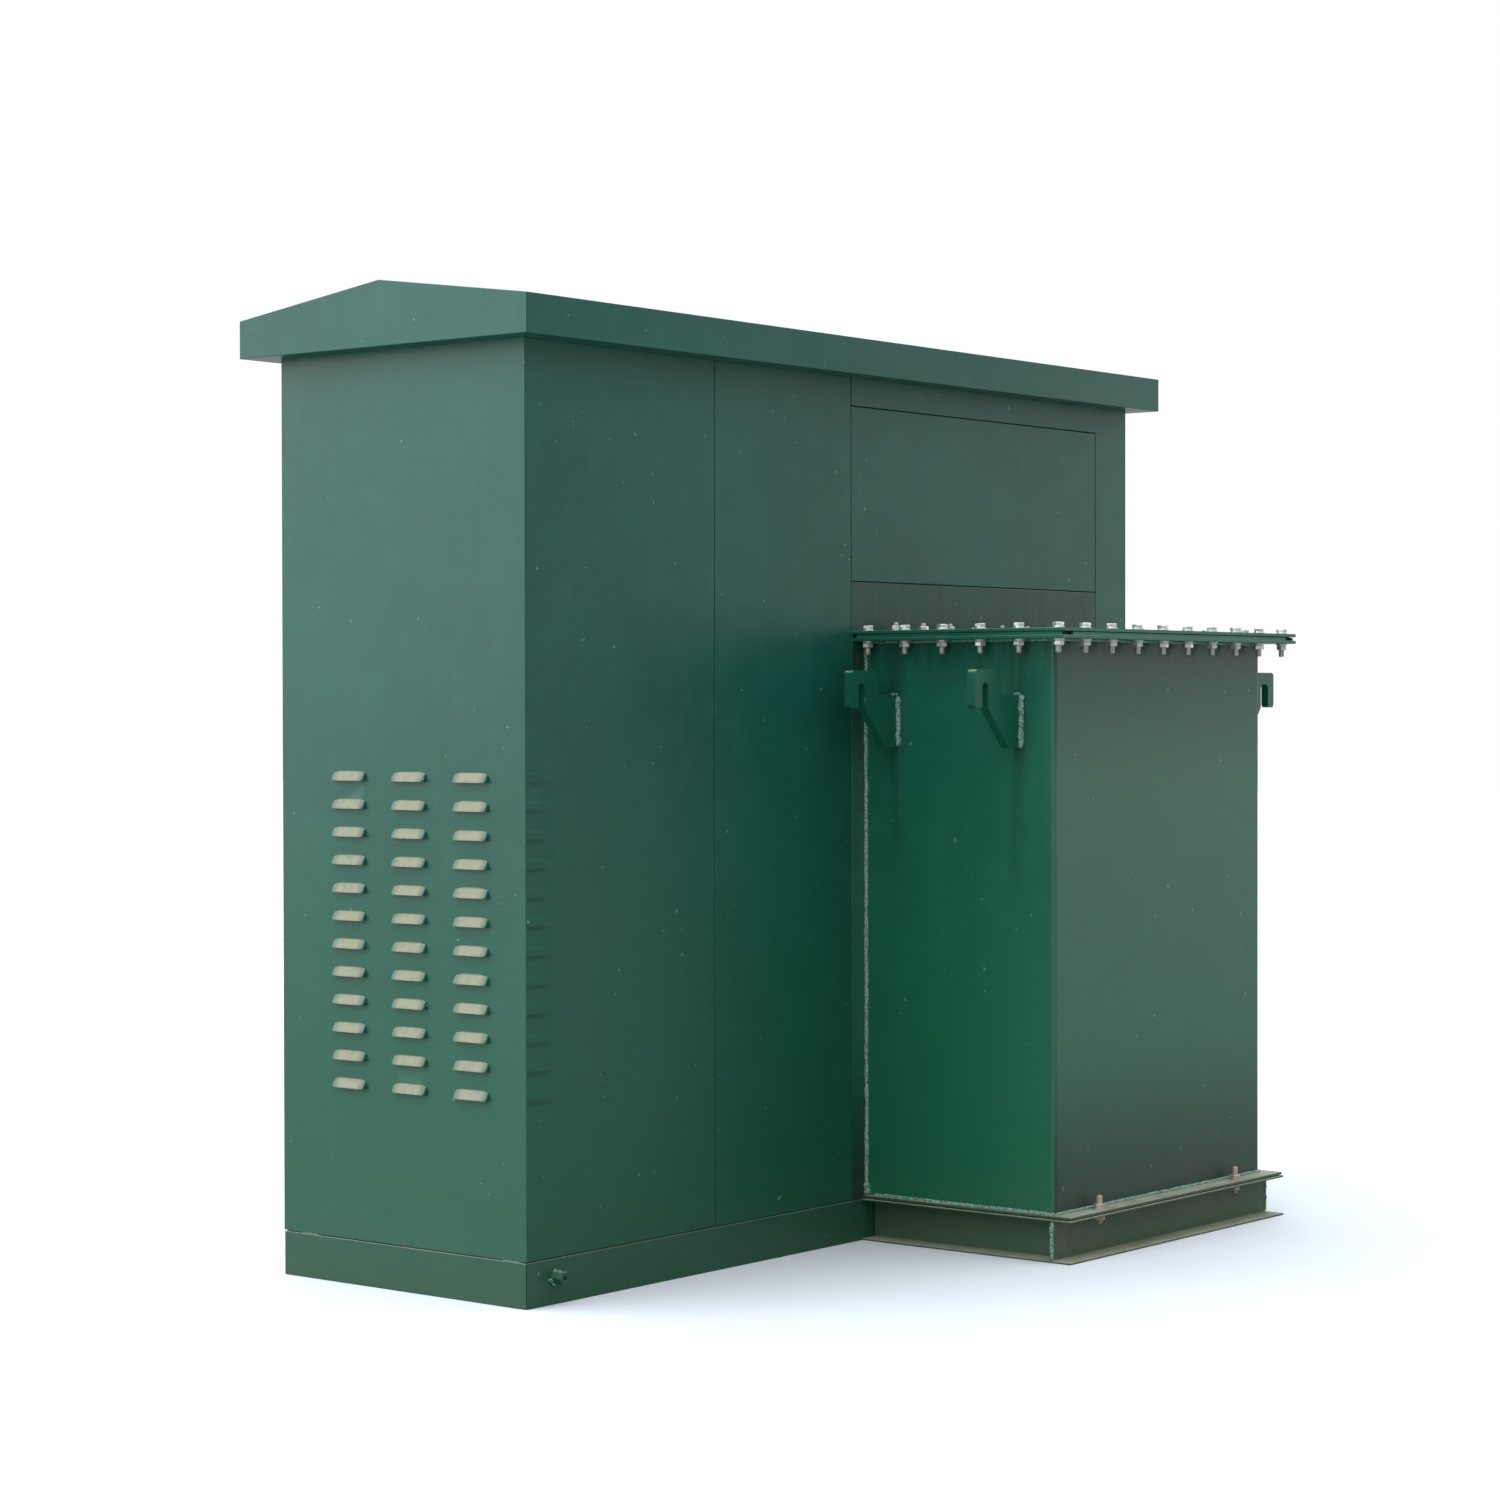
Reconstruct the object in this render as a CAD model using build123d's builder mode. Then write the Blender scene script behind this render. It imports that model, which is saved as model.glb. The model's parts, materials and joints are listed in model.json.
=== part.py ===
from build123d import *
import os
from math import hypot

os.makedirs("parts", exist_ok=True)

# Pad-mounted transformer: an oil tank behind a long terminal and switchgear cabinet.
# Millimetres. X runs along the cabinet, the doors face -Y, the tank is at +Y, Z is up.
# The origin is on the ground, under the middle of the roof and tank outline.

# ---------------------------------------------------------------- driving dimensions
cabinet_length = 1920
cabinet_depth = 600
base_height = 80
eaves_height = 1675
rear_y = 86
sheet = 2.5

fascia_height = 69
ridge_height = 1792
ridge_setback = 300
end_overhang = 51
rear_overhang = 52
front_overhang = 56
roof_sheet = 2.5

panel_seam = 516
plate_right = 25.5
plate_width = 865.5
plate_top = 1280
plate_thickness = 6
hatch_top = 1620

tank_right = -17
tank_left = -769
tank_depth = 441
tank_wall = 5
tank_corner = 8
tank_floor_z = 83
tank_floor = 5
tank_rim_z = 1165
rim_thickness = 6.5
gasket_thickness = 7
cover_thickness = 6.5
rim_right = 23
rim_left = -842
rim_rear = 570

bolt_columns = 10
bolt_rows = 6
bolt_margin = 20
m12_shank = 6
m12_flats = 19

foot_right = -6
foot_left = -796
foot_rear = 568
channel_flange = 43
foot_channel = 46
channel_web = 5
channel_flange_thickness = 6
foot_flange_thickness = 4
stud_places = (-140, -640)
stud_inset = 22

door_gap = 3
door_depth = 25
door_bottom = 110
door_top = 1640
stile_width = 40
barrier_x = -462
partition_x = 26
hinge_stand_off = 9
hinge_heights = (330, 875, 1420)
lock_height = 900

# ---------------------------------------------------------------- derived places
end_x = cabinet_length / 2
front_y = rear_y - cabinet_depth
tank_rear = rear_y + tank_depth
tank_mid_x = (tank_left + tank_right) / 2
tank_mid_y = (rear_y + tank_rear) / 2
plate_left = plate_right - plate_width
plate_front = rear_y - plate_thickness
rim_top = tank_rim_z + rim_thickness
gasket_top = rim_top + gasket_thickness
cover_top = gasket_top + cover_thickness
door_back = front_y + door_depth
wall_bottom = base_height + 2


def block(x0, x1, y0, y1, z0, z1, mode=Mode.ADD):
    """A box given by its low and high sides."""
    centre = ((x0 + x1) / 2, (y0 + y1) / 2, (z0 + z1) / 2)
    with Locations(centre):
        Box(x1 - x0, y1 - y0, z1 - z0, mode=mode)


def turned_y(x, z, y0, y1, radius, mode=Mode.ADD):
    """A round bar or bore along Y."""
    with Locations(Location((x, (y0 + y1) / 2, z), (90, 0, 0))):
        Cylinder(radius, y1 - y0, mode=mode)


def turned_z(x, y, z0, z1, radius, mode=Mode.ADD):
    """A round bar or bore along Z."""
    with Locations((x, y, (z0 + z1) / 2)):
        Cylinder(radius, z1 - z0, mode=mode)


def save(part, name):
    part.label = name
    export_step(part, f"parts/{name}.step")


# ---------------------------------------------------------------- cabinet base
# Channel rails with their webs outward, mitred at the corners, and two cross rails
# under the barriers. Holding-down holes go through both flanges near the corners.
mitre_gap = 0.4
anchor_x = end_x - 60
anchor_radius = 9
anchor_inset = 24
cross_rails = (barrier_x, partition_x)

with BuildPart() as cabinet_base_frame:
    with BuildSketch(Plane.XY) as outline:
        with Locations((0, (front_y + rear_y) / 2)):
            Rectangle(cabinet_length, cabinet_depth)
            Rectangle(cabinet_length - 2 * channel_flange, cabinet_depth - 2 * channel_flange,
                      mode=Mode.SUBTRACT)
    extrude(amount=base_height)
    with BuildSketch(Plane.XY.offset(channel_flange_thickness)) as hollow:
        with Locations((0, (front_y + rear_y) / 2)):
            Rectangle(cabinet_length - 2 * channel_web, cabinet_depth - 2 * channel_web)
    extrude(amount=base_height - 2 * channel_flange_thickness, mode=Mode.SUBTRACT)
    for sx in (-1, 1):
        for y, turn in ((front_y, -45), (rear_y, 45)):
            with Locations(Location((sx * end_x, y, base_height / 2), (0, 0, sx * turn))):
                Box(4 * channel_flange, mitre_gap, base_height, mode=Mode.SUBTRACT)
    for x in (-anchor_x, anchor_x):
        for y in (front_y + anchor_inset, rear_y - anchor_inset):
            turned_z(x, y, 0, base_height, anchor_radius, Mode.SUBTRACT)
    rail_front = front_y + channel_flange + mitre_gap
    rail_rear = rear_y - channel_flange - mitre_gap
    for x in cross_rails:
        block(x - 20, x + 20, rail_front, rail_rear, 0, channel_flange_thickness)
        block(x - 2.5, x + 2.5, rail_front, rail_rear, 0, base_height)
        block(x - 20, x + 20, rail_front, rail_rear, base_height - channel_flange_thickness, base_height)
save(cabinet_base_frame.part, "cabinet_base_frame")

# ---------------------------------------------------------------- inner frame
# Four angle posts stand on the base, and angle rails tie the cabinet under the roof.
post_size = 40
post_sheet = 3
rail_drop = 35
post_y = (front_y + 45, rear_y - 18 - post_size)

with BuildPart() as cabinet_frame:
    for x, inward in ((-end_x + sheet, 1), (end_x - sheet, -1)):
        for y0, side in ((post_y[0], 0), (post_y[1], 1)):
            y1 = y0 + post_size
            block(min(x, x + inward * post_sheet), max(x, x + inward * post_sheet),
                  y0, y1, base_height, eaves_height - rail_drop - 0.5)
            flange_y = y1 - post_sheet if side else y0
            block(min(x, x + inward * post_size), max(x, x + inward * post_size),
                  flange_y, flange_y + post_sheet, base_height, eaves_height - rail_drop - 0.5)
    for y0, flange_y in ((post_y[0], post_y[0]), (post_y[1], post_y[1] + post_size - post_sheet)):
        block(-end_x + 45, end_x - 45, flange_y, flange_y + post_sheet,
              eaves_height - rail_drop, eaves_height)
        block(-end_x + 45, end_x - 45, y0, y0 + post_size, eaves_height - post_sheet, eaves_height)
    for sx in (-1, 1):
        x_out = sx * (end_x - sheet)
        x_in = x_out - sx * post_size
        x_web = x_out - sx * post_sheet
        block(min(x_out, x_web), max(x_out, x_web), post_y[0], post_y[1] + post_size,
              eaves_height - rail_drop, eaves_height)
        block(min(x_out, x_in), max(x_out, x_in), post_y[0], post_y[1] + post_size,
              eaves_height - post_sheet, eaves_height)
save(cabinet_frame.part, "cabinet_frame")

# ---------------------------------------------------------------- end walls
# The right end wall is pressed with three columns of hooded louvres.
louvre_columns = (126.6, 276.6, 426.6)
louvre_rows = 12
louvre_pitch = 50.3
louvre_top_row = 917
louvre_width = 80
louvre_height = 19
louvre_reach = 9
louvre_lip = 3
louvre_skin = 1.8
louvre_round = 11
end_round = 3


def louvre_block(inset, mouth):
    """The outside of a louvre hood, or its hollow when inset by the skin."""
    half = louvre_width / 2 - inset
    top = louvre_height / 2 - inset
    reach = louvre_reach - inset
    low = -louvre_height / 2 - mouth
    slope = (louvre_height - louvre_lip) / louvre_reach
    start = louvre_height / 2 - inset * hypot(1, slope)
    with BuildPart() as hood:
        with BuildSketch(Plane.XZ.offset(-half)):
            with BuildLine():
                Polyline((-mouth, start + slope * mouth), (reach, start - slope * reach), (reach, low),
                         (-mouth, low), close=True)
            make_face()
        extrude(amount=2 * half)
        with BuildSketch(Plane.YZ.offset(-mouth)) as outline:
            with Locations((0, (top + low) / 2)):
                Rectangle(2 * half, top - low)
            fillet(outline.vertices().group_by(Axis.Y)[-1], louvre_round - inset)
        extrude(amount=reach + mouth, mode=Mode.INTERSECT)
        if not inset:
            ends = [e for e in hood.edges() if abs(e.center().Y) > half - louvre_round
                    and e.center().X > 0.5 and e.center().Z > low + 0.5]
            fillet(ends, end_round)
    return hood.part


with BuildPart() as louvre_hood:
    add(louvre_block(0, 0))
    add(louvre_block(louvre_skin, 1), mode=Mode.SUBTRACT)

louvre_spots = [(end_x, rear_y - v, louvre_top_row - row * louvre_pitch)
                for v in louvre_columns for row in range(louvre_rows)]
slot_length = louvre_width - 10
slot_height = louvre_height - 8

with BuildPart() as end_wall_louvred:
    block(end_x - sheet, end_x, front_y, rear_y, wall_bottom, eaves_height)
    with Locations([(x - sheet / 2, y, z - 2) for x, y, z in louvre_spots]):
        Box(sheet, slot_length, slot_height, mode=Mode.SUBTRACT)
    with Locations(louvre_spots):
        add(louvre_hood.part)
save(end_wall_louvred.part, "end_wall_louvred")

with BuildPart() as end_wall_plain:
    block(-end_x, -end_x + sheet, front_y, rear_y, wall_bottom, eaves_height)
save(end_wall_plain.part, "end_wall_plain")

# ---------------------------------------------------------------- rear wall
# Folded trays with a narrow seam between them, each with returns on its four edges.
tray_return = 15
seam = 2
seam_x = end_x - panel_seam


def tray(x0, x1, z0, z1):
    """A rear tray panel: a sheet with its edges folded into the cabinet."""
    block(x0, x1, rear_y - tray_return, rear_y, z0, z1)
    block(x0 + sheet, x1 - sheet, rear_y - tray_return, rear_y - sheet, z0 + sheet, z1 - sheet,
          Mode.SUBTRACT)


with BuildPart() as rear_panel_outer:
    tray(seam_x + seam / 2, end_x - sheet, wall_bottom, eaves_height)
save(rear_panel_outer.part, "rear_panel_outer")

with BuildPart() as rear_panel_inner:
    tray(plate_right + seam, seam_x - seam / 2, wall_bottom, eaves_height)
save(rear_panel_inner.part, "rear_panel_inner")

with BuildPart() as rear_hatch:
    tray(plate_left + seam / 2, plate_right, plate_top + seam, hatch_top - seam / 2)
save(rear_hatch.part, "rear_hatch")

with BuildPart() as rear_surround:
    block(-end_x + sheet, plate_left - seam / 2, rear_y - sheet, rear_y, wall_bottom, eaves_height)
    block(plate_left - seam / 2, plate_right, rear_y - sheet, rear_y, hatch_top + seam / 2, eaves_height)
save(rear_surround.part, "rear_surround")

# ---------------------------------------------------------------- roof
# A folded gable roof whose fascia turns under and rests on the wall tops.
roof_front = front_y - front_overhang
roof_rear = rear_y + rear_overhang
roof_end = end_x + end_overhang
ridge_y = rear_y - ridge_setback
fascia_top = eaves_height + fascia_height
lip_width = 70

with BuildPart() as roof_shell:
    with BuildSketch(Plane.YZ.offset(-roof_end)):
        with BuildLine():
            Polyline((roof_front, eaves_height), (roof_rear, eaves_height), (roof_rear, fascia_top),
                     (ridge_y, ridge_height), (roof_front, fascia_top), close=True)
        make_face()
    extrude(amount=2 * roof_end)
    with BuildSketch(Plane.YZ.offset(-roof_end + roof_sheet)):
        with BuildLine():
            Polyline((roof_front + roof_sheet, eaves_height + roof_sheet),
                     (roof_rear - roof_sheet, eaves_height + roof_sheet),
                     (roof_rear - roof_sheet, fascia_top - roof_sheet),
                     (ridge_y, ridge_height - roof_sheet),
                     (roof_front + roof_sheet, fascia_top - roof_sheet), close=True)
        make_face()
    extrude(amount=2 * (roof_end - roof_sheet), mode=Mode.SUBTRACT)
    block(-roof_end + lip_width, roof_end - lip_width, roof_front + lip_width, roof_rear - lip_width,
          eaves_height, eaves_height + roof_sheet, Mode.SUBTRACT)
save(roof_shell.part, "roof_shell")

# ---------------------------------------------------------------- front frame
# Angle stiles and rails round the door openings: the mullion parts the switchgear room
# from the two terminal compartments. Strips behind the heads and feet of the doors are
# what the doors shut against, and the lock rods reach behind them.
frame_return = 22
mullion = (partition_x - 30, partition_x + 30)
opening_left = -end_x + stile_width
opening_right = end_x - stile_width
butt = 0.4
stop_face = door_back + 5
stop_depth = 25

with BuildPart() as front_frame:
    for z0, z1, lip_z in ((wall_bottom, door_bottom, door_bottom - sheet),
                          (door_top, eaves_height, door_top)):
        block(-end_x + sheet, end_x - sheet, front_y, front_y + sheet, z0, z1)
        block(-end_x + sheet, end_x - sheet, front_y, front_y + frame_return, lip_z, lip_z + sheet)
    for x0, x1, lips in ((-end_x + sheet, opening_left, (opening_left - sheet,)),
                         (mullion[0], mullion[1], (mullion[0], mullion[1] - sheet)),
                         (opening_right, end_x - sheet, (opening_right,))):
        block(x0, x1, front_y, front_y + sheet, door_bottom + butt, door_top - butt)
        for x in lips:
            block(x, x + sheet, front_y, front_y + frame_return, door_bottom + butt, door_top - butt)
    for x0, x1 in ((opening_left, mullion[0]), (mullion[1], opening_right)):
        for z0, z1 in ((door_bottom, door_bottom + stop_depth), (door_top - stop_depth, door_top)):
            block(x0, x1, stop_face, stop_face + sheet, z0, z1)
        block(x0, x1, front_y + frame_return + butt, stop_face + sheet, door_top, door_top + sheet)
        block(x0, x1, front_y + frame_return + butt, stop_face + sheet, door_bottom - sheet, door_bottom)
save(front_frame.part, "front_frame")

# ---------------------------------------------------------------- barriers
barrier_front = stop_face + 12
barrier_top = eaves_height - rail_drop
tray_clear = rear_y - tray_return - 3

with BuildPart() as compartment_barriers:
    for x in (barrier_x, partition_x + 3):
        block(x - sheet / 2, x + sheet / 2, barrier_front, tray_clear, base_height, barrier_top)
    block(barrier_x - sheet / 2, barrier_x + sheet / 2, tray_clear, plate_front, base_height, plate_top)
    bus_window = (partition_x + 3 - sheet, partition_x + 3 + sheet, -150, 40, 720, 1120)
    block(*bus_window, Mode.SUBTRACT)
save(compartment_barriers.part, "compartment_barriers")

# ---------------------------------------------------------------- doors
# Each door is a tray leaf with welded hinge knuckles. The two active doors also carry
# rod guides and a spindle hole for their locks.
knuckle_radius = 8
pin_radius = 4
running_clearance = 0.05
knuckle_length = 40
hinge_y = front_y - hinge_stand_off
hinge_leaf = 25
hinge_leaf_thickness = 3
spindle_radius = 7
lock_inset = 45
rod_width = 20
rod_thickness = 5
cam_radius = 26
cam_thickness = 6
cam_back = door_back + 8
rod_front = cam_back + 0.4
rod_rear = rod_front + rod_thickness
guide_heights = (260, 640, 1160, 1500)
leaf_gap = 4

# name, low x, high x, hinge side, lock x (None for a passive leaf)
doors = (
    ("hv_door", opening_left + door_gap, barrier_x - leaf_gap / 2, -1, None),
    ("lv_door", barrier_x + leaf_gap / 2, mullion[0] - door_gap, 1, barrier_x + leaf_gap / 2 + lock_inset),
    ("room_door_left", mullion[1] + door_gap, 486, -1, None),
    ("room_door_right", 490, opening_right - door_gap, 1, 490 + lock_inset),
)


def hinge_axis_x(x0, x1, side):
    """The hinge line stands over the gap beside the leaf."""
    return x0 - door_gap / 2 if side < 0 else x1 + door_gap / 2


for name, x0, x1, side, lock_x in doors:
    axis_x = hinge_axis_x(x0, x1, side)
    z0 = door_bottom + door_gap
    z1 = door_top - door_gap
    with BuildPart() as door:
        block(x0, x1, front_y, door_back, z0, z1)
        block(x0 + sheet, x1 - sheet, front_y + sheet, door_back, z0 + sheet, z1 - sheet, Mode.SUBTRACT)
        for z in hinge_heights:
            turned_z(axis_x, hinge_y, z + 0.3, z + knuckle_length, knuckle_radius)
            block(min(axis_x, axis_x - side * hinge_leaf), max(axis_x, axis_x - side * hinge_leaf),
                  front_y - hinge_leaf_thickness, front_y, z + 0.3, z + knuckle_length)
            turned_z(axis_x, hinge_y, z, z + knuckle_length, pin_radius + running_clearance, Mode.SUBTRACT)
        if lock_x is not None:
            turned_y(lock_x, lock_height, front_y - 1, front_y + sheet + 1,
                     spindle_radius + running_clearance, Mode.SUBTRACT)
            for z in guide_heights:
                block(lock_x - 20, lock_x + 20, front_y + sheet, rod_rear + 3, z - 8, z + 8)
                block(lock_x - rod_width / 2 - 0.4, lock_x + rod_width / 2 + 0.4, rod_front - 0.3,
                      rod_rear + 0.3, z - 8, z + 8, Mode.SUBTRACT)
    save(door.part, name)

# The frame halves of the hinges: lower knuckle, leaf and pin in one lift-off pintle.
with BuildPart() as hinge_pintles:
    for name, x0, x1, side, lock_x in doors:
        axis_x = hinge_axis_x(x0, x1, side)
        for z in hinge_heights:
            turned_z(axis_x, hinge_y, z - knuckle_length, z, knuckle_radius)
            turned_z(axis_x, hinge_y, z - 5, z + knuckle_length - 4, pin_radius)
            block(min(axis_x, axis_x + side * hinge_leaf), max(axis_x, axis_x + side * hinge_leaf),
                  front_y - hinge_leaf_thickness, front_y, z - knuckle_length, z)
save(hinge_pintles.part, "hinge_pintles")

# ---------------------------------------------------------------- door locks
# A lever turns a cam behind the leaf. The cam drives one rod up and one rod down.
lever_length = 130
lever_width = 18
rod_rest_top = door_top - stop_depth - 5
rod_rest_bottom = door_bottom + stop_depth + 5

for name, x0, x1, side, lock_x in doors:
    if lock_x is None:
        continue
    prefix = name.replace("_door_right", "").replace("_door", "")
    with BuildPart() as lock_handle:
        turned_y(lock_x, lock_height, front_y - 4, front_y - 0.5, 24)
        turned_y(lock_x, lock_height, front_y - 30, front_y - 3, 13)
        block(lock_x - lever_width / 2, lock_x + lever_width / 2, front_y - 34, front_y - 20,
              lock_height - lever_length, lock_height + 12)
        lever_edges = lock_handle.edges().filter_by(Axis.Y).group_by(Axis.Z)[0]
        fillet(lever_edges, 8)
        turned_y(lock_x, lock_height, front_y - 10, cam_back, spindle_radius)
        turned_y(lock_x, lock_height, cam_back - cam_thickness, cam_back, cam_radius)
    save(lock_handle.part, f"{prefix}_lock_handle")
    with BuildPart() as rod_upper:
        block(lock_x - rod_width / 2, lock_x + rod_width / 2, rod_front, rod_rear,
              lock_height + 2, rod_rest_top)
    save(rod_upper.part, f"{prefix}_lock_rod_upper")
    with BuildPart() as rod_lower:
        block(lock_x - rod_width / 2, lock_x + rod_width / 2, rod_front, rod_rear,
              rod_rest_bottom, lock_height - 2)
    save(rod_lower.part, f"{prefix}_lock_rod_lower")

# ---------------------------------------------------------------- tank shell
# Three walls folded from one sheet, closed by the front plate, the bottom plate and
# the bolted cover.
with BuildPart() as tank_body:
    with BuildSketch(Plane.XY.offset(tank_floor_z + tank_floor)):
        with Locations((tank_mid_x, tank_mid_y)):
            walls = Rectangle(tank_right - tank_left, tank_depth)
        fillet(walls.vertices().group_by(Axis.Y)[-1], tank_corner)
        with Locations((tank_mid_x, tank_mid_y - tank_wall / 2)):
            Rectangle(tank_right - tank_left - 2 * tank_wall, tank_depth - tank_wall, mode=Mode.SUBTRACT)
    extrude(amount=tank_rim_z - tank_floor_z - tank_floor)
save(tank_body.part, "tank_body")

# Places of the fittings on the front plate.
hv_bushing_x = (-725, -620, -515)
hv_bushing_z = 620
fuse_z = 1040
switch_x = -680
tap_x = -530
gear_z = 840
lv_bushing_x = (-410, -315, -220, -125)
lv_bushing_z = 700
thermometer_at = (-110, 1060)
oil_gauge_at = (-210, 1060)
relief_at = (-310, 1090)
drain_at = (-110, 170)
bushing_hole = 26
fuse_hole = 24.5
small_hole = 12
gear_shaft = 7
stud_hole = m12_shank + 0.5

with BuildPart() as tank_front_plate:
    block(plate_left, plate_right, plate_front, rear_y, base_height, plate_top)
    for x in hv_bushing_x:
        turned_y(x, hv_bushing_z, plate_front, rear_y, bushing_hole, Mode.SUBTRACT)
        turned_y(x, fuse_z, plate_front, rear_y, fuse_hole, Mode.SUBTRACT)
    for x in lv_bushing_x:
        turned_y(x, lv_bushing_z, plate_front, rear_y, bushing_hole, Mode.SUBTRACT)
    for x, z in (thermometer_at, relief_at, drain_at):
        turned_y(x, z, plate_front, rear_y, small_hole, Mode.SUBTRACT)
    for x in (switch_x, tap_x):
        turned_y(x, gear_z, plate_front - 20, rear_y + 45, 22)
        turned_y(x, gear_z, plate_front - 20, rear_y + 45, gear_shaft + running_clearance, Mode.SUBTRACT)
save(tank_front_plate.part, "tank_front_plate")

with BuildPart() as tank_bottom_plate:
    block(foot_left + 4, foot_right - 2, rear_y, foot_rear - 2, tank_floor_z, tank_floor_z + tank_floor)
    for x in stud_places:
        turned_z(x, foot_rear - stud_inset, tank_floor_z, tank_floor_z + tank_floor, stud_hole, Mode.SUBTRACT)
save(tank_bottom_plate.part, "tank_bottom_plate")

# Channel foot under the tank, its flanges facing outward. The rear channel runs the full
# length, and the side channels butt against it.
wall_gap = 0.2
plate_gap = 2
foot_front = rear_y + wall_gap
foot_top = tank_floor_z - plate_gap
side_end = foot_rear - foot_channel - butt
hollow_low = foot_flange_thickness
hollow_high = foot_top - foot_flange_thickness

with BuildPart() as tank_foot:
    block(foot_left, foot_right, foot_rear - foot_channel, foot_rear, 0, foot_top)
    block(foot_left, foot_right, foot_rear - foot_channel + channel_web, foot_rear, hollow_low, hollow_high,
          Mode.SUBTRACT)
    for outer, inward in ((foot_left, 1), (foot_right, -1)):
        back = outer + inward * foot_channel
        web = back - inward * channel_web
        block(min(outer, back), max(outer, back), foot_front, side_end, 0, foot_top)
        block(min(outer, web), max(outer, web), foot_front, side_end, hollow_low, hollow_high, Mode.SUBTRACT)
    for x in stud_places:
        turned_z(x, foot_rear - stud_inset, foot_top - foot_flange_thickness, foot_top, stud_hole,
                 Mode.SUBTRACT)
save(tank_foot.part, "tank_foot")

# ---------------------------------------------------------------- tank cover joint
bolt_pitch_x = (rim_right - rim_left - 2 * bolt_margin) / (bolt_columns - 1)
bolt_front_y = rear_y + 22
bolt_rear_y = rim_rear - 22
bolt_pitch_y = (bolt_rear_y - bolt_front_y) / (bolt_rows - 1)
bolt_x = [rim_left + bolt_margin + i * bolt_pitch_x for i in range(bolt_columns)]
front_row = [(x, bolt_front_y) for x in bolt_x[1:-1]]
other_rows = [(x, bolt_rear_y) for x in bolt_x]
other_rows += [(x, bolt_front_y + j * bolt_pitch_y) for x in (bolt_x[0], bolt_x[-1])
               for j in range(bolt_rows - 1)]
bolt_hole = m12_shank + 1
rim_inner_rear = tank_rear - tank_wall


def bolt_holes(z0, z1):
    for x, y in front_row + other_rows:
        turned_z(x, y, z0, z1, bolt_hole, Mode.SUBTRACT)


# The rim carries bars outside the gasket, a little lower than it. The side bars run to
# the rear corners, and the rear bar stops short of them.
bar_width = 6
bar_set_back = 1.5
bar_clear = 1
side_bar_start = rear_y + 8
side_bar_end = rim_rear - 6
rear_bar_stop = 40

with BuildPart() as tank_rim:
    block(rim_left, rim_right, rear_y, rim_rear, tank_rim_z, rim_top)
    block(tank_left + tank_wall, tank_right - tank_wall, rear_y + 40, rim_inner_rear, tank_rim_z, rim_top,
          Mode.SUBTRACT)
    for x0 in (rim_left + bar_set_back, rim_right - bar_set_back - bar_width):
        block(x0, x0 + bar_width, side_bar_start, side_bar_end, rim_top, gasket_top - bar_clear)
    block(rim_left + rear_bar_stop, rim_right - rear_bar_stop, rim_rear - bar_set_back - bar_width,
          rim_rear - bar_set_back, rim_top, gasket_top - bar_clear)
    bolt_holes(tank_rim_z, rim_top)
save(tank_rim.part, "tank_rim")

gasket_inset = 9.5
with BuildPart() as cover_gasket:
    block(rim_left + gasket_inset, rim_right - gasket_inset, rear_y + 4, rim_rear - gasket_inset,
          rim_top, gasket_top)
    block(tank_left + tank_wall, tank_right - tank_wall, rear_y + 40, rim_inner_rear, rim_top, gasket_top,
          Mode.SUBTRACT)
    bolt_holes(rim_top, gasket_top)
save(cover_gasket.part, "cover_gasket")

with BuildPart() as tank_cover:
    block(rim_left, rim_right, rear_y, rim_rear, gasket_top, cover_top)
    bolt_holes(gasket_top, cover_top)
save(tank_cover.part, "tank_cover")

# Bolts with their head washers, and nuts with theirs. The row beside the cabinet is
# put in from below, and its threads end nearer the nuts.
hex_radius = m12_flats / 2 / 0.8660254
head_height = 8
nut_height = 10
nut_half_bore = 20
washer_radius = 12
washer_thickness = 2.5

# places, the side the head is on, how far the thread passes the nut
bolt_sets = ((other_rows, 1, 14), (front_row, -1, 6))

with BuildPart() as cover_bolts:
    for places, up, thread_end in bolt_sets:
        face = cover_top if up > 0 else tank_rim_z
        far_face = tank_rim_z if up > 0 else cover_top
        far = far_face - up * (washer_thickness + nut_height + thread_end)
        for x, y in places:
            turned_z(x, y, min(face, far), max(face, far), m12_shank)
            turned_z(x, y, min(face, face + up * washer_thickness), max(face, face + up * washer_thickness),
                     washer_radius)
            head = face + up * (washer_thickness + head_height / 2)
            with BuildSketch(Plane.XY.offset(head - head_height / 2)):
                with Locations((x, y)):
                    RegularPolygon(hex_radius, 6)
            extrude(amount=head_height)
save(cover_bolts.part, "cover_bolts")

with BuildPart() as cover_nuts:
    for places, up, thread_end in bolt_sets:
        face = tank_rim_z if up > 0 else cover_top
        for x, y in places:
            turned_z(x, y, min(face, face - up * washer_thickness), max(face, face - up * washer_thickness),
                     washer_radius)
            nut = face - up * (washer_thickness + nut_height / 2)
            with BuildSketch(Plane.XY.offset(nut - nut_height / 2)):
                with Locations((x, y)):
                    RegularPolygon(hex_radius, 6)
            extrude(amount=nut_height)
            turned_z(x, y, nut - nut_half_bore, nut + nut_half_bore, m12_shank + running_clearance,
                     Mode.SUBTRACT)
save(cover_nuts.part, "cover_nuts")

# Studs and nuts that hold the bottom plate to the foot.
stud_below = 22
stud_above = 26

with BuildPart() as foot_studs:
    for x in stud_places:
        y = foot_rear - stud_inset
        floor_top = tank_floor_z + tank_floor
        turned_z(x, y, tank_floor_z - stud_below, floor_top + stud_above, m12_shank)
        for z0 in (foot_top - foot_flange_thickness - nut_height, floor_top):
            with BuildSketch(Plane.XY.offset(z0)):
                with Locations((x, y)):
                    RegularPolygon(hex_radius, 6)
            extrude(amount=nut_height)
save(foot_studs.part, "foot_studs")

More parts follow.
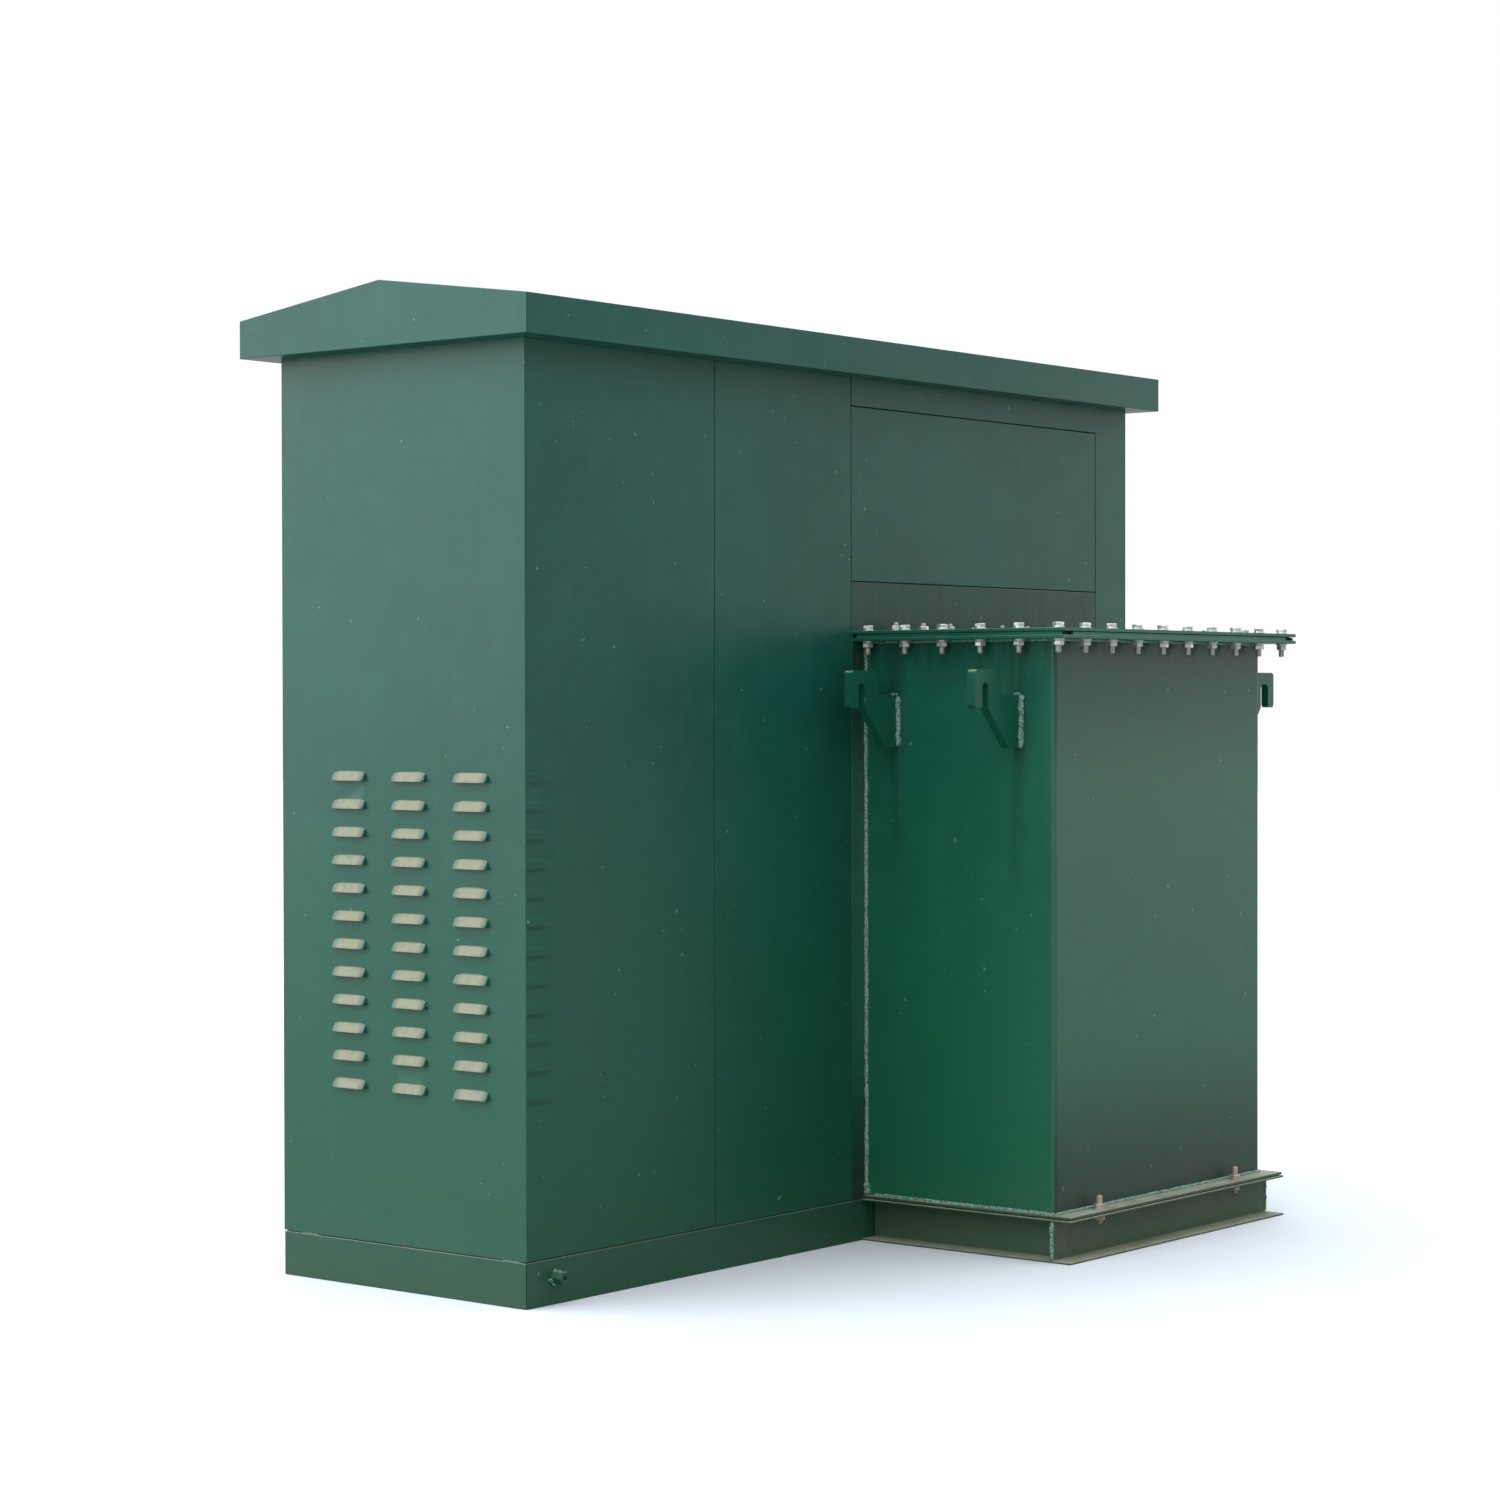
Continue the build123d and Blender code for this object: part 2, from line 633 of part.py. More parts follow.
# ---------------------------------------------------------------- lifting hooks
# Flame-cut plates on the tank sides. Each has a slot that opens downward.
hook_low = 961
hook_elbow = 40
hook_ledge = (68, 1060)
hook_top = 1107
hook_reach = 150
slot_outer = 127.5
slot_high = 1083
tip_low = 1035

# wall, side, rear face, thickness, slot's inner edge
hook_places = ((tank_right, 1, rear_y + 80.5, 18, 108), (tank_right, 1, rear_y + 365.5, 18, 108),
               (tank_left, -1, rear_y + 80.5, 16, 98), (tank_left, -1, rear_y + 388, 16, 98))

with BuildPart() as lifting_hooks:
    for wall_x, out, y, thickness, slot_inner in hook_places:
        with BuildSketch(Plane.XZ.offset(-y)) as profile:
            with BuildLine():
                outline = [(0, hook_low), (hook_elbow, hook_low), (slot_inner, tip_low),
                           (slot_inner, slot_high), (slot_outer, slot_high), (slot_outer, tip_low),
                           (hook_reach, tip_low), (hook_reach, hook_top), (hook_ledge[0], hook_top),
                           hook_ledge, (0, hook_ledge[1])]
                Polyline(*[(wall_x + out * s, z) for s, z in outline], close=True)
            make_face()
            slot_width = slot_outer - slot_inner
            slot_top = [v for v in profile.vertices() if abs(v.Z - slot_high) < 1]
            corners = [v for v in profile.vertices() if v.Z > hook_top - 1
                       or (abs(v.Z - tip_low) < 1 and abs(v.X - wall_x) > hook_reach - 1)]
            elbow = [v for v in profile.vertices() if v.Z < hook_low + 1 and abs(v.X - wall_x) > 5]
            fillet(slot_top, 0.46 * slot_width)
            fillet(corners, 6)
            fillet(elbow, 8)
        extrude(amount=thickness)
save(lifting_hooks.part, "lifting_hooks")

# ---------------------------------------------------------------- earth boss
earth_x = end_x - 72
earth_z = 48
boss_length = 25
thread_radius = 5.1
thread_depth = 20

with BuildPart() as earth_boss:
    with BuildSketch(Plane.XZ.offset(-rear_y - boss_length)):
        with Locations((earth_x, earth_z)):
            RegularPolygon(12.7, 6)
    extrude(amount=boss_length)
    turned_y(earth_x, earth_z, rear_y + boss_length - thread_depth, rear_y + boss_length, thread_radius,
             Mode.SUBTRACT)
save(earth_boss.part, "earth_boss")

# ---------------------------------------------------------------- core and windings
limb = 95
limb_pitch = 235
yoke_low = 130
yoke_high = 840
core_x = tank_mid_x
core_y = tank_mid_y

with BuildPart() as core:
    block(core_x - limb_pitch - limb / 2, core_x + limb_pitch + limb / 2, core_y - limb / 2,
          core_y + limb / 2, yoke_low, yoke_high)
    for side in (-1, 1):
        window = core_x + side * limb_pitch / 2
        block(window - (limb_pitch - limb) / 2, window + (limb_pitch - limb) / 2, core_y - limb / 2,
              core_y + limb / 2, yoke_low + limb, yoke_high - limb, Mode.SUBTRACT)
    for y in (core_y - limb / 2 - 20.4, core_y + limb / 2 + 0.4):
        for z in (tank_floor_z + tank_floor, yoke_high - limb + 5):
            block(core_x - limb_pitch - 80, core_x + limb_pitch + 80, y, y + 20, z, z + 120)
save(core.part, "core")

for name, inner, outer in (("lv_windings", 70, 88), ("hv_windings", 94, 114)):
    with BuildPart() as windings:
        with BuildSketch(Plane.XY.offset(yoke_low + limb + 15)):
            with Locations([(core_x + i * limb_pitch, core_y) for i in (-1, 0, 1)]):
                Circle(outer)
                Circle(inner, mode=Mode.SUBTRACT)
        extrude(amount=yoke_high - yoke_low - 2 * limb - 30)
    save(windings.part, name)

# ---------------------------------------------------------------- bushings
with BuildPart() as hv_bushings:
    for x in hv_bushing_x:
        turned_y(x, hv_bushing_z, rear_y - plate_thickness - 110, rear_y + 60, bushing_hole - 0.5)
        turned_y(x, hv_bushing_z, plate_front - 12, plate_front, 42)
        turned_y(x, hv_bushing_z, plate_front - 80, plate_front - 12, 33)
        turned_y(x, hv_bushing_z, plate_front - 130, plate_front - 110, 9)
save(hv_bushings.part, "hv_bushings")

lug_front = plate_front - 140
lug_thickness = 8
with BuildPart() as lv_bushings:
    for x in lv_bushing_x:
        turned_y(x, lv_bushing_z, plate_front - 110, rear_y + 60, bushing_hole - 0.5)
        for step in range(3):
            y = plate_front - 12 - step * 30
            turned_y(x, lv_bushing_z, y, y + 12, 38)
        block(x - 25, x + 25, lug_front, lug_front + lug_thickness, lv_bushing_z - 30, lv_bushing_z + 30)
        turned_y(x, lv_bushing_z, lug_front, plate_front - 105, 14)
save(lv_bushings.part, "lv_bushings")

# ---------------------------------------------------------------- fuses
# Bayonet fuse wells through the front plate, each with a holder that pulls out.
well_front = plate_front - 45
well_rear = rear_y + 170
well_bore = 19

with BuildPart() as fuse_wells:
    for x in hv_bushing_x:
        turned_y(x, fuse_z, well_front, well_rear, fuse_hole - 0.5)
        turned_y(x, fuse_z, plate_front - 8, plate_front, 36)
        turned_y(x, fuse_z, well_front, well_rear - 8, well_bore, Mode.SUBTRACT)
save(fuse_wells.part, "fuse_wells")

for phase, x in zip("abc", hv_bushing_x):
    with BuildPart() as holder:
        turned_y(x, fuse_z, well_front - 22, well_front - 0.4, 30)
        turned_y(x, fuse_z, well_front - 2, well_rear - 20, well_bore - 0.3)
        with Locations(Location((x, well_front - 40, fuse_z), (0, 90, 0))):
            Torus(18, 4.5)
    save(holder.part, f"fuse_holder_{phase}")

# ---------------------------------------------------------------- switch and tap changer
with BuildPart() as load_switch_handle:
    turned_y(switch_x, gear_z, plate_front - 45, rear_y + 40, gear_shaft)
    turned_y(switch_x, gear_z, plate_front - 45, plate_front - 20.5, 20)
    block(switch_x - 9, switch_x + 9, plate_front - 45, plate_front - 33, gear_z - 62, gear_z + 62)
    grip_ends = load_switch_handle.edges().filter_by(Axis.Y)
    fillet([e for e in grip_ends if abs(e.center().Z - gear_z) > 50], 8)
save(load_switch_handle.part, "load_switch_handle")

with BuildPart() as tap_changer_knob:
    turned_y(tap_x, gear_z, plate_front - 40, rear_y + 40, gear_shaft)
    turned_y(tap_x, gear_z, plate_front - 42, plate_front - 20.5, 28)
    for x in (tap_x - 28, tap_x + 28):
        turned_y(x, gear_z, plate_front - 42, plate_front - 20.5, 6)
save(tap_changer_knob.part, "tap_changer_knob")

# ---------------------------------------------------------------- gauges and valves
with BuildPart() as thermometer:
    x, z = thermometer_at
    turned_y(x, z, plate_front - 55, plate_front - 15, 38)
    turned_y(x, z, plate_front - 55, plate_front - 50, 34, Mode.SUBTRACT)
    turned_y(x, z, plate_front - 15, rear_y + 60, small_hole - 0.4)
save(thermometer.part, "thermometer")

with BuildPart() as thermometer_pointer:
    x, z = thermometer_at
    turned_y(x, z, plate_front - 54, plate_front - 50.4, 4)
    block(x - 1.2, x + 1.2, plate_front - 53, plate_front - 51.5, z - 8, z + 27)
save(thermometer_pointer.part, "thermometer_pointer")

with BuildPart() as oil_level_gauge:
    x, z = oil_gauge_at
    block(x - 14, x + 14, plate_front - 14, plate_front, z - 70, z + 70)
    fillet(oil_level_gauge.edges().filter_by(Axis.Y), 12)
save(oil_level_gauge.part, "oil_level_gauge")

with BuildPart() as relief_valve:
    x, z = relief_at
    turned_y(x, z, plate_front - 34, rear_y + 10, small_hole - 0.4)
    turned_y(x, z, plate_front - 24, plate_front, 18)
    turned_y(x, z, plate_front - 34, rear_y, 3 + running_clearance, Mode.SUBTRACT)
save(relief_valve.part, "relief_valve")

with BuildPart() as relief_pull:
    x, z = relief_at
    turned_y(x, z, plate_front - 46, plate_front, 3)
    with Locations(Location((x, plate_front - 58, z), (0, 90, 0))):
        Torus(14, 2.5)
save(relief_pull.part, "relief_pull")

with BuildPart() as drain_valve:
    x, z = drain_at
    turned_y(x, z, plate_front - 60, rear_y + 10, small_hole - 0.4)
    turned_z(x, plate_front - 45, z - 40, z + 20, 16)
    turned_z(x, plate_front - 45, z, z + 45, 11)
    turned_z(x, plate_front - 45, z + 10, z + 45, 5 + running_clearance, Mode.SUBTRACT)
save(drain_valve.part, "drain_valve")

with BuildPart() as drain_handwheel:
    x, z = drain_at
    turned_z(x, plate_front - 45, z + 12, z + 62, 5)
    with Locations((x, plate_front - 45, z + 57)):
        Torus(30, 5)
        with PolarLocations(0, 3):
            with Locations((15, 0, 0)):
                Box(32, 6, 5)
save(drain_handwheel.part, "drain_handwheel")

# ---------------------------------------------------------------- switchgear room
# A mounting panel on two rails carries the main breaker, three feeder breakers and
# the bars between them.
panel_y = (30, 33)
rail_y = (33, 58)
main_x = (340, 440, 540)
main_body = (270, 610, 500, 800)
main_front = -110
toggle_pocket = 14
feeder_x = (300, 440, 580)
feeder_half = 52
feeder_body = (210, 375)
feeder_front = -60
pole_pitch = 34
bar_y = (lug_front - lug_thickness, lug_front)
bar_half = 20
load_bar_y = (-64, -58)
load_link_y = (-76, -70)
load_bar_width = 16
load_bar_low = 400
load_bar_step = 22

with BuildPart() as breaker_panel:
    block(150, 780, panel_y[0], panel_y[1], 180, 900)
    for z in (260, 820):
        block(partition_x + 5, end_x - 48, rail_y[0], rail_y[1] - 5, z - 25, z + 25)
save(breaker_panel.part, "breaker_panel")

with BuildPart() as main_breaker:
    main_mid_x = (main_body[0] + main_body[1]) / 2
    main_mid_z = (main_body[2] + main_body[3]) / 2
    block(main_body[0], main_body[1], main_front, panel_y[0], main_body[2], main_body[3])
    block(main_mid_x - toggle_pocket, main_mid_x + toggle_pocket, main_front, main_front + 30,
          main_mid_z - 60, main_mid_z + 60, Mode.SUBTRACT)
    for tab_x in main_x:
        block(tab_x - bar_half, tab_x + bar_half, bar_y[1], bar_y[1] + 6, main_body[3], main_body[3] + 45)
        block(tab_x - bar_half, tab_x + bar_half, load_link_y[1], load_bar_y[0], main_body[2] - 30,
              main_body[2])
save(main_breaker.part, "main_breaker")

with BuildPart() as feeder_breakers:
    feeder_mid_z = (feeder_body[0] + feeder_body[1]) / 2
    for x in feeder_x:
        block(x - feeder_half, x + feeder_half, feeder_front, panel_y[0], feeder_body[0], feeder_body[1])
        block(x - toggle_pocket, x + toggle_pocket, feeder_front, feeder_front + 30,
              feeder_mid_z - 36, feeder_mid_z + 36, Mode.SUBTRACT)
save(feeder_breakers.part, "feeder_breakers")

toggles = [("main_toggle", main_mid_x, main_front, main_mid_z, 34)]
toggles += [(f"feeder_toggle_{i + 1}", x, feeder_front, feeder_mid_z, 22) for i, x in enumerate(feeder_x)]

for name, x, front, z, reach_out in toggles:
    with BuildPart() as toggle:
        with Locations(Location((x, front + 20, z), (0, 90, 0))):
            Cylinder(8, 24)
        block(x - 7, x + 7, front - reach_out, front + 20, z - 5, z + 5)
    save(toggle.part, name)

# Copper bars: one per phase from the tank bushings to the main breaker, and the neutral.
phase_levels = (1080, 980, 880)
lug_low = lv_bushing_z - 25
neutral_end = 200
with BuildPart() as busbars:
    for i, (x, level, target) in enumerate(zip(lv_bushing_x, phase_levels, reversed(main_x))):
        block(x - bar_half, x + bar_half, bar_y[0], bar_y[1], lug_low, level)
        block(x - bar_half, target + bar_half, bar_y[0], bar_y[1], level - 2 * bar_half, level)
        block(target - bar_half, target + bar_half, bar_y[0], bar_y[1], main_body[3] + 5, level)
    neutral = lv_bushing_x[3]
    neutral_top = lv_bushing_z + 65
    block(neutral - bar_half, neutral_end, bar_y[0], bar_y[1], neutral_top - 2 * bar_half, neutral_top)
    block(neutral - bar_half, neutral + bar_half, bar_y[0], bar_y[1], lug_low, neutral_top)
    # Below the main breaker: one bar across per phase, a link up to the breaker and a link
    # down to each feeder, kept apart from the other phases in depth.
    for phase, x in enumerate(main_x):
        z0 = load_bar_low + load_bar_step * phase
        z1 = z0 + load_bar_width
        block(feeder_x[0] - 70, feeder_x[-1] + 70, load_bar_y[0], load_bar_y[1], z0, z1)
        block(x - 15, x + 15, load_link_y[0], load_link_y[1], z0, main_body[2] - 4)
        block(x - 15, x + 15, load_link_y[0], load_bar_y[0], z0, z1)
        for feed_x in feeder_x:
            pole_x = feed_x + (phase - 1) * pole_pitch
            block(pole_x - 8, pole_x + 8, load_bar_y[1], load_bar_y[1] + 8, z0, z1)
            block(pole_x - 8, pole_x + 8, load_bar_y[1] + 4, load_bar_y[1] + 10, feeder_body[1], z1)
save(busbars.part, "busbars")
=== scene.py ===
import json
import math
import random

import bmesh
import bpy
from mathutils import Matrix, Vector


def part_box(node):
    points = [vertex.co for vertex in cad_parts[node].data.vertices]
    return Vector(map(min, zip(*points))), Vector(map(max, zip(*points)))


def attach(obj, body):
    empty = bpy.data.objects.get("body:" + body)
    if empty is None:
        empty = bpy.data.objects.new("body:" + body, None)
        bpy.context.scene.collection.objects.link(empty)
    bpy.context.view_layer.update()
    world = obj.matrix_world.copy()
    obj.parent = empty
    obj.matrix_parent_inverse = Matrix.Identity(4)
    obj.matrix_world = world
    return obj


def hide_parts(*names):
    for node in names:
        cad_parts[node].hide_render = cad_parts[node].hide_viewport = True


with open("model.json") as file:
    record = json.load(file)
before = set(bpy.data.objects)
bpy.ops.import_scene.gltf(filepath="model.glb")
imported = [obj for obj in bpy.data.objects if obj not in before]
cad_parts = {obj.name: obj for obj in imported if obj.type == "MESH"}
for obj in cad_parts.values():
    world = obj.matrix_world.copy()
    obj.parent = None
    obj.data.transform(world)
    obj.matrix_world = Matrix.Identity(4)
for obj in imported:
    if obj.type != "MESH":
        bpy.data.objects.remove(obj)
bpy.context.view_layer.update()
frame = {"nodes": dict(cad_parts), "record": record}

nodes = frame["nodes"]
chance = random.Random(12)

# ---------------------------------------------------------------- places from the frame
plain_low, plain_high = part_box("end_wall_plain")
tank_low, tank_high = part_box("tank_body")
rim_low, rim_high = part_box("tank_rim")
cover_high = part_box("tank_cover")[1]
foot_low, foot_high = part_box("tank_foot")
bottom_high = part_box("tank_bottom_plate")[1]
rear_y = plain_high[1]
front_y = plain_low[1]
end_x = -plain_low[0]
body_of = {name: body for body, names in frame["record"]["behaviour"]["bodies"].items() for name in names}
slot_of = {part["node"]: part["material_slot"] for part in frame["record"]["subparts"]}


# ---------------------------------------------------------------- camera
# A long lens at standing height, looking at the corner of the louvred end and the rear.
def place_camera():
    yaw, pitch, roll = math.radians(38.662), math.radians(-0.781), math.radians(-0.0987)
    ahead = Vector((-math.cos(yaw) * math.cos(pitch), -math.sin(yaw) * math.cos(pitch), math.sin(pitch)))
    level_right = Vector((-math.sin(yaw), math.cos(yaw), 0))
    level_up = level_right.cross(ahead)
    right = math.cos(roll) * level_right + math.sin(roll) * level_up
    up = math.cos(roll) * level_up - math.sin(roll) * level_right
    data = bpy.data.cameras.new("camera")
    data.sensor_width = 36
    data.sensor_height = 36
    data.lens = 80.87
    data.clip_end = 200
    camera = bpy.data.objects.new("camera", data)
    bpy.context.scene.collection.objects.link(camera)
    turn = Matrix((right, up, -ahead)).transposed()
    spot = Vector((end_x + 4.2811, rear_y + 3.9203, 1.0439))
    camera.matrix_world = Matrix.Translation(spot) @ turn.to_4x4()
    bpy.context.scene.camera = camera


# ---------------------------------------------------------------- bench work
def lay_down():
    """Leaves object mode with nothing in hand."""
    if bpy.context.mode != "OBJECT":
        bpy.ops.object.mode_set(mode="OBJECT")
    bpy.ops.object.select_all(action="DESELECT")


def take(piece):
    lay_down()
    piece.select_set(True)
    bpy.context.view_layer.objects.active = piece


def open_up(piece):
    take(piece)
    bpy.ops.object.mode_set(mode="EDIT")


def pick(piece, kind, wanted):
    """Selects the faces, edges or points of an opened piece that a test accepts."""
    bpy.ops.mesh.select_mode(type=kind)
    bpy.ops.mesh.select_all(action="DESELECT")
    mesh = bmesh.from_edit_mesh(piece.data)
    for part in {"FACE": mesh.faces, "EDGE": mesh.edges, "VERT": mesh.verts}[kind]:
        if wanted(part):
            part.select_set(True)
    bmesh.update_edit_mesh(piece.data)


def settle(piece, name, smooth=32):
    """Puts a piece's place into its mesh and smooths what is not an edge."""
    take(piece)
    piece.name = name
    bpy.ops.object.transform_apply(location=True, rotation=True, scale=True)
    bpy.ops.object.shade_smooth_by_angle(angle=math.radians(smooth))
    return piece


def slab(low, high, round_off=0.0, longer_than=0.0, steps=2):
    """A rectangular piece with its edges broken."""
    lay_down()
    low, high = Vector(low), Vector(high)
    bpy.ops.mesh.primitive_cube_add(size=1, location=(low + high) / 2, scale=high - low)
    piece = bpy.context.object
    bpy.ops.object.transform_apply(location=True, rotation=True, scale=True)
    if round_off:
        open_up(piece)
        pick(piece, "EDGE", lambda edge: edge.calc_length() > longer_than)
        bpy.ops.mesh.bevel(offset=round_off, segments=steps, affect="EDGES")
    lay_down()
    return piece


def turned(at, profile, axis="Z", sides=28):
    """A lathe piece: a disc drawn out step by step. profile lists (radius, distance along the axis)."""
    lay_down()
    radius, start = profile[0]
    bpy.ops.mesh.primitive_circle_add(vertices=sides, radius=radius, fill_type="NGON", location=(0, 0, start))
    piece = bpy.context.object
    bpy.ops.object.transform_apply(location=True, rotation=False, scale=False)
    open_up(piece)
    bpy.ops.mesh.select_all(action="SELECT")
    for reach, along in profile[1:]:
        bpy.ops.mesh.extrude_region_move(TRANSFORM_OT_translate={"value": (0, 0, along - start)})
        factor = reach / radius
        bpy.ops.transform.resize(value=(factor, factor, 1), center_override=(0, 0, along))
        radius, start = reach, along
    bpy.ops.mesh.select_all(action="SELECT")
    bpy.ops.mesh.normals_make_consistent(inside=False)
    lay_down()
    turn = {"Z": Matrix.Identity(4), "-Y": Matrix.Rotation(math.radians(90), 4, "X"),
            "Y": Matrix.Rotation(math.radians(-90), 4, "X"),
            "X": Matrix.Rotation(math.radians(90), 4, "Y")}[axis]
    piece.data.transform(Matrix.Translation(at) @ turn)
    return piece


def ring(at, radius, thickness, axis="Z", sides=36, round_sides=10):
    """A round ring or wheel rim."""
    lay_down()
    turn = {"Z": (0, 0, 0), "Y": (math.radians(90), 0, 0), "X": (0, math.radians(90), 0)}[axis]
    bpy.ops.mesh.primitive_torus_add(major_radius=radius, minor_radius=thickness, major_segments=sides,
                                     minor_segments=round_sides, location=at, rotation=turn)
    piece = bpy.context.object
    bpy.ops.object.transform_apply(location=True, rotation=True, scale=True)
    return piece


def copy_at(piece, matrix):
    """A copy with its own mesh, moved by a matrix."""
    twin = bpy.data.objects.new(piece.name, piece.data.copy())
    bpy.context.scene.collection.objects.link(twin)
    twin.data.transform(matrix)
    return twin


def join(name, pieces, smooth=32):
    lay_down()
    for piece in pieces:
        piece.select_set(True)
    bpy.context.view_layer.objects.active = pieces[0]
    if len(pieces) > 1:
        bpy.ops.object.join()
    return settle(bpy.context.view_layer.objects.active, name, smooth)


def fit(piece, finish, body="housing", stands_for=()):
    """Gives a piece its finish and slot, and fixes it to its body."""
    piece.data.materials.clear()
    piece.data.materials.append(finish)
    for face in piece.data.polygons:
        face.material_index = 0
    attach(piece, body)
    if stands_for:
        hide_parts(*stands_for)
    return piece


def dressed(node, finish, width=0.0012, longer_than=0.03, steps=2):
    """A sheet or plate as it leaves the press: the CAD shape with its long edges rounded."""
    piece = bpy.data.objects.new(node + "_dressed", nodes[node].data.copy())
    bpy.context.scene.collection.objects.link(piece)
    open_up(piece)
    bpy.ops.mesh.select_all(action="SELECT")
    bpy.ops.mesh.remove_doubles(threshold=0.00001)
    bpy.ops.mesh.dissolve_limited(angle_limit=math.radians(0.5))
    sharp = math.radians(40)
    pick(piece, "EDGE", lambda edge: len(edge.link_faces) == 2 and edge.calc_face_angle(0) > sharp
         and edge.calc_length() > longer_than)
    bpy.ops.mesh.bevel(offset=width, segments=steps, affect="EDGES", clamp_overlap=True)
    settle(piece, node + "_dressed", 35)
    even = piece.modifiers.new("even", "WEIGHTED_NORMAL")
    even.keep_sharp = True
    even.weight = 100
    bpy.ops.object.modifier_apply(modifier=even.name)
    return fit(piece, finish, body_of[node], (node,))


def bead(name, start, end, radius, lumps=0.0012, step=0.0035):
    """A hand-laid weld run between two points, lumpy along its length."""
    start, end = Vector(start), Vector(end)
    length = (end - start).length
    lay_down()
    bpy.ops.mesh.primitive_cylinder_add(vertices=10, radius=radius, depth=length, end_fill_type="NGON")
    piece = bpy.context.object
    open_up(piece)
    pick(piece, "EDGE", lambda edge: edge.calc_length() > length * 0.9)
    bpy.ops.mesh.subdivide(number_cuts=max(2, int(length / step)))
    pick(piece, "VERT", lambda point: abs(point.co.z) > length / 2 - 0.0001)
    bpy.ops.transform.resize(value=(0.45, 0.45, 1), center_override=(0, 0, 0))
    lay_down()
    turn = (end - start).to_track_quat("Z", "Y").to_matrix().to_4x4()
    piece.data.transform(Matrix.Translation((start + end) / 2) @ turn)
    take(piece)
    for kind, size, strength in (("CLOUDS", 0.0075, lumps), ("CLOUDS", 0.0028, lumps * 0.6)):
        texture = bpy.data.textures.new(name + "_lumps", kind)
        texture.noise_scale = size
        texture.noise_depth = 1
        lumpy = piece.modifiers.new("lumps", "DISPLACE")
        lumpy.texture = texture
        lumpy.texture_coords = "LOCAL"
        lumpy.strength = strength * 2
        lumpy.mid_level = 0.5
        bpy.ops.object.modifier_apply(modifier=lumpy.name)
    return piece


# ---------------------------------------------------------------- finishes
def srgb(red, green, blue):
    """A colour as it is mixed for the eye, from 0 to 255, in linear light."""
    parts = [c / 255 for c in (red, green, blue)]
    return tuple(c / 12.92 if c <= 0.04045 else ((c + 0.055) / 1.055) ** 2.4 for c in parts) + (1,)


class Finish:
    """One finish: a surface, and the patterns laid over it."""

    def __init__(self, name, metallic=0.0, **fixed):
        self.material = bpy.data.materials.new(name)
        self.material.use_nodes = True
        self.tree = self.material.node_tree
        self.surface = self.tree.nodes["Principled BSDF"]
        self.surface.inputs["Metallic"].default_value = metallic
        for socket, value in fixed.items():
            self.surface.inputs[socket.replace("_", " ")].default_value = value
        self.place = self.node("TexCoord").outputs["Object"]
        parts = self.node("SeparateXYZ", Vector=self.place)
        self.x, self.y, self.z = parts.outputs
        facing = self.node("SeparateXYZ", Vector=self.node("NewGeometry").outputs["Normal"])
        self.facing_x, self.facing_y, self.facing_z = facing.outputs

    def feed(self, socket, value):
        if isinstance(value, bpy.types.NodeSocket):
            self.tree.links.new(value, socket)
        else:
            socket.default_value = value

    def node(self, kind, **inputs):
        made = self.tree.nodes.new("ShaderNode" + kind)
        for name, value in inputs.items():
            self.feed(made.inputs[name], value)
        return made

    def math(self, operation, a, b=0.0, clamp=False):
        made = self.node("Math")
        made.operation = operation
        made.use_clamp = clamp
        self.feed(made.inputs[0], a)
        self.feed(made.inputs[1], b)
        return made.outputs[0]

    def grain(self, scale, detail=3, roughness=0.55, stretch=None):
        place = self.node("Mapping", Vector=self.place, Scale=stretch).outputs[0] if stretch else self.place
        noise = self.node("TexNoise", Vector=place, Scale=scale, Detail=detail, Roughness=roughness)
        return noise.outputs["Fac"]

    def window(self, value, low, high, out_low=0.0, out_high=1.0):
        """Eases from one value to another as the input passes between two levels."""
        made = self.node("MapRange")
        made.interpolation_type = "SMOOTHSTEP"
        levels = {"From Min": low, "From Max": high, "To Min": out_low, "To Max": out_high}
        for socket, number in levels.items():
            made.inputs[socket].default_value = number
        self.feed(made.inputs["Value"], value)
        return made.outputs[0]

    def both(self, *values):
        total = values[0]
        for value in values[1:]:
            total = self.math("MULTIPLY", total, value)
        return total

    def over(self, amount, under, upper):
        """Lays one colour over another by an amount."""
        made = self.node("Mix")
        made.data_type = "RGBA"
        self.feed(made.inputs[0], amount)
        self.feed(made.inputs[6], under)
        self.feed(made.inputs[7], upper)
        return made.outputs[2]

    def done(self, colour, roughness, height=None, depth=0.0005, strength=1.0):
        self.feed(self.surface.inputs["Base Color"], colour)
        self.feed(self.surface.inputs["Roughness"], roughness)
        if height is not None:
            bump = self.node("Bump", Height=height, Distance=depth, Strength=strength)
            self.tree.links.new(bump.outputs["Normal"], self.surface.inputs["Normal"])
        return self.material


# Louvre rows and columns, from the rear corner and the ground.
LOUVRE_START = 0.0516
LOUVRE_COLUMN = 0.15
LOUVRE_TOP = 0.917
LOUVRE_PITCH = 0.0503

dust_colour = srgb(176, 172, 148)
rust_colour = srgb(112, 62, 34)


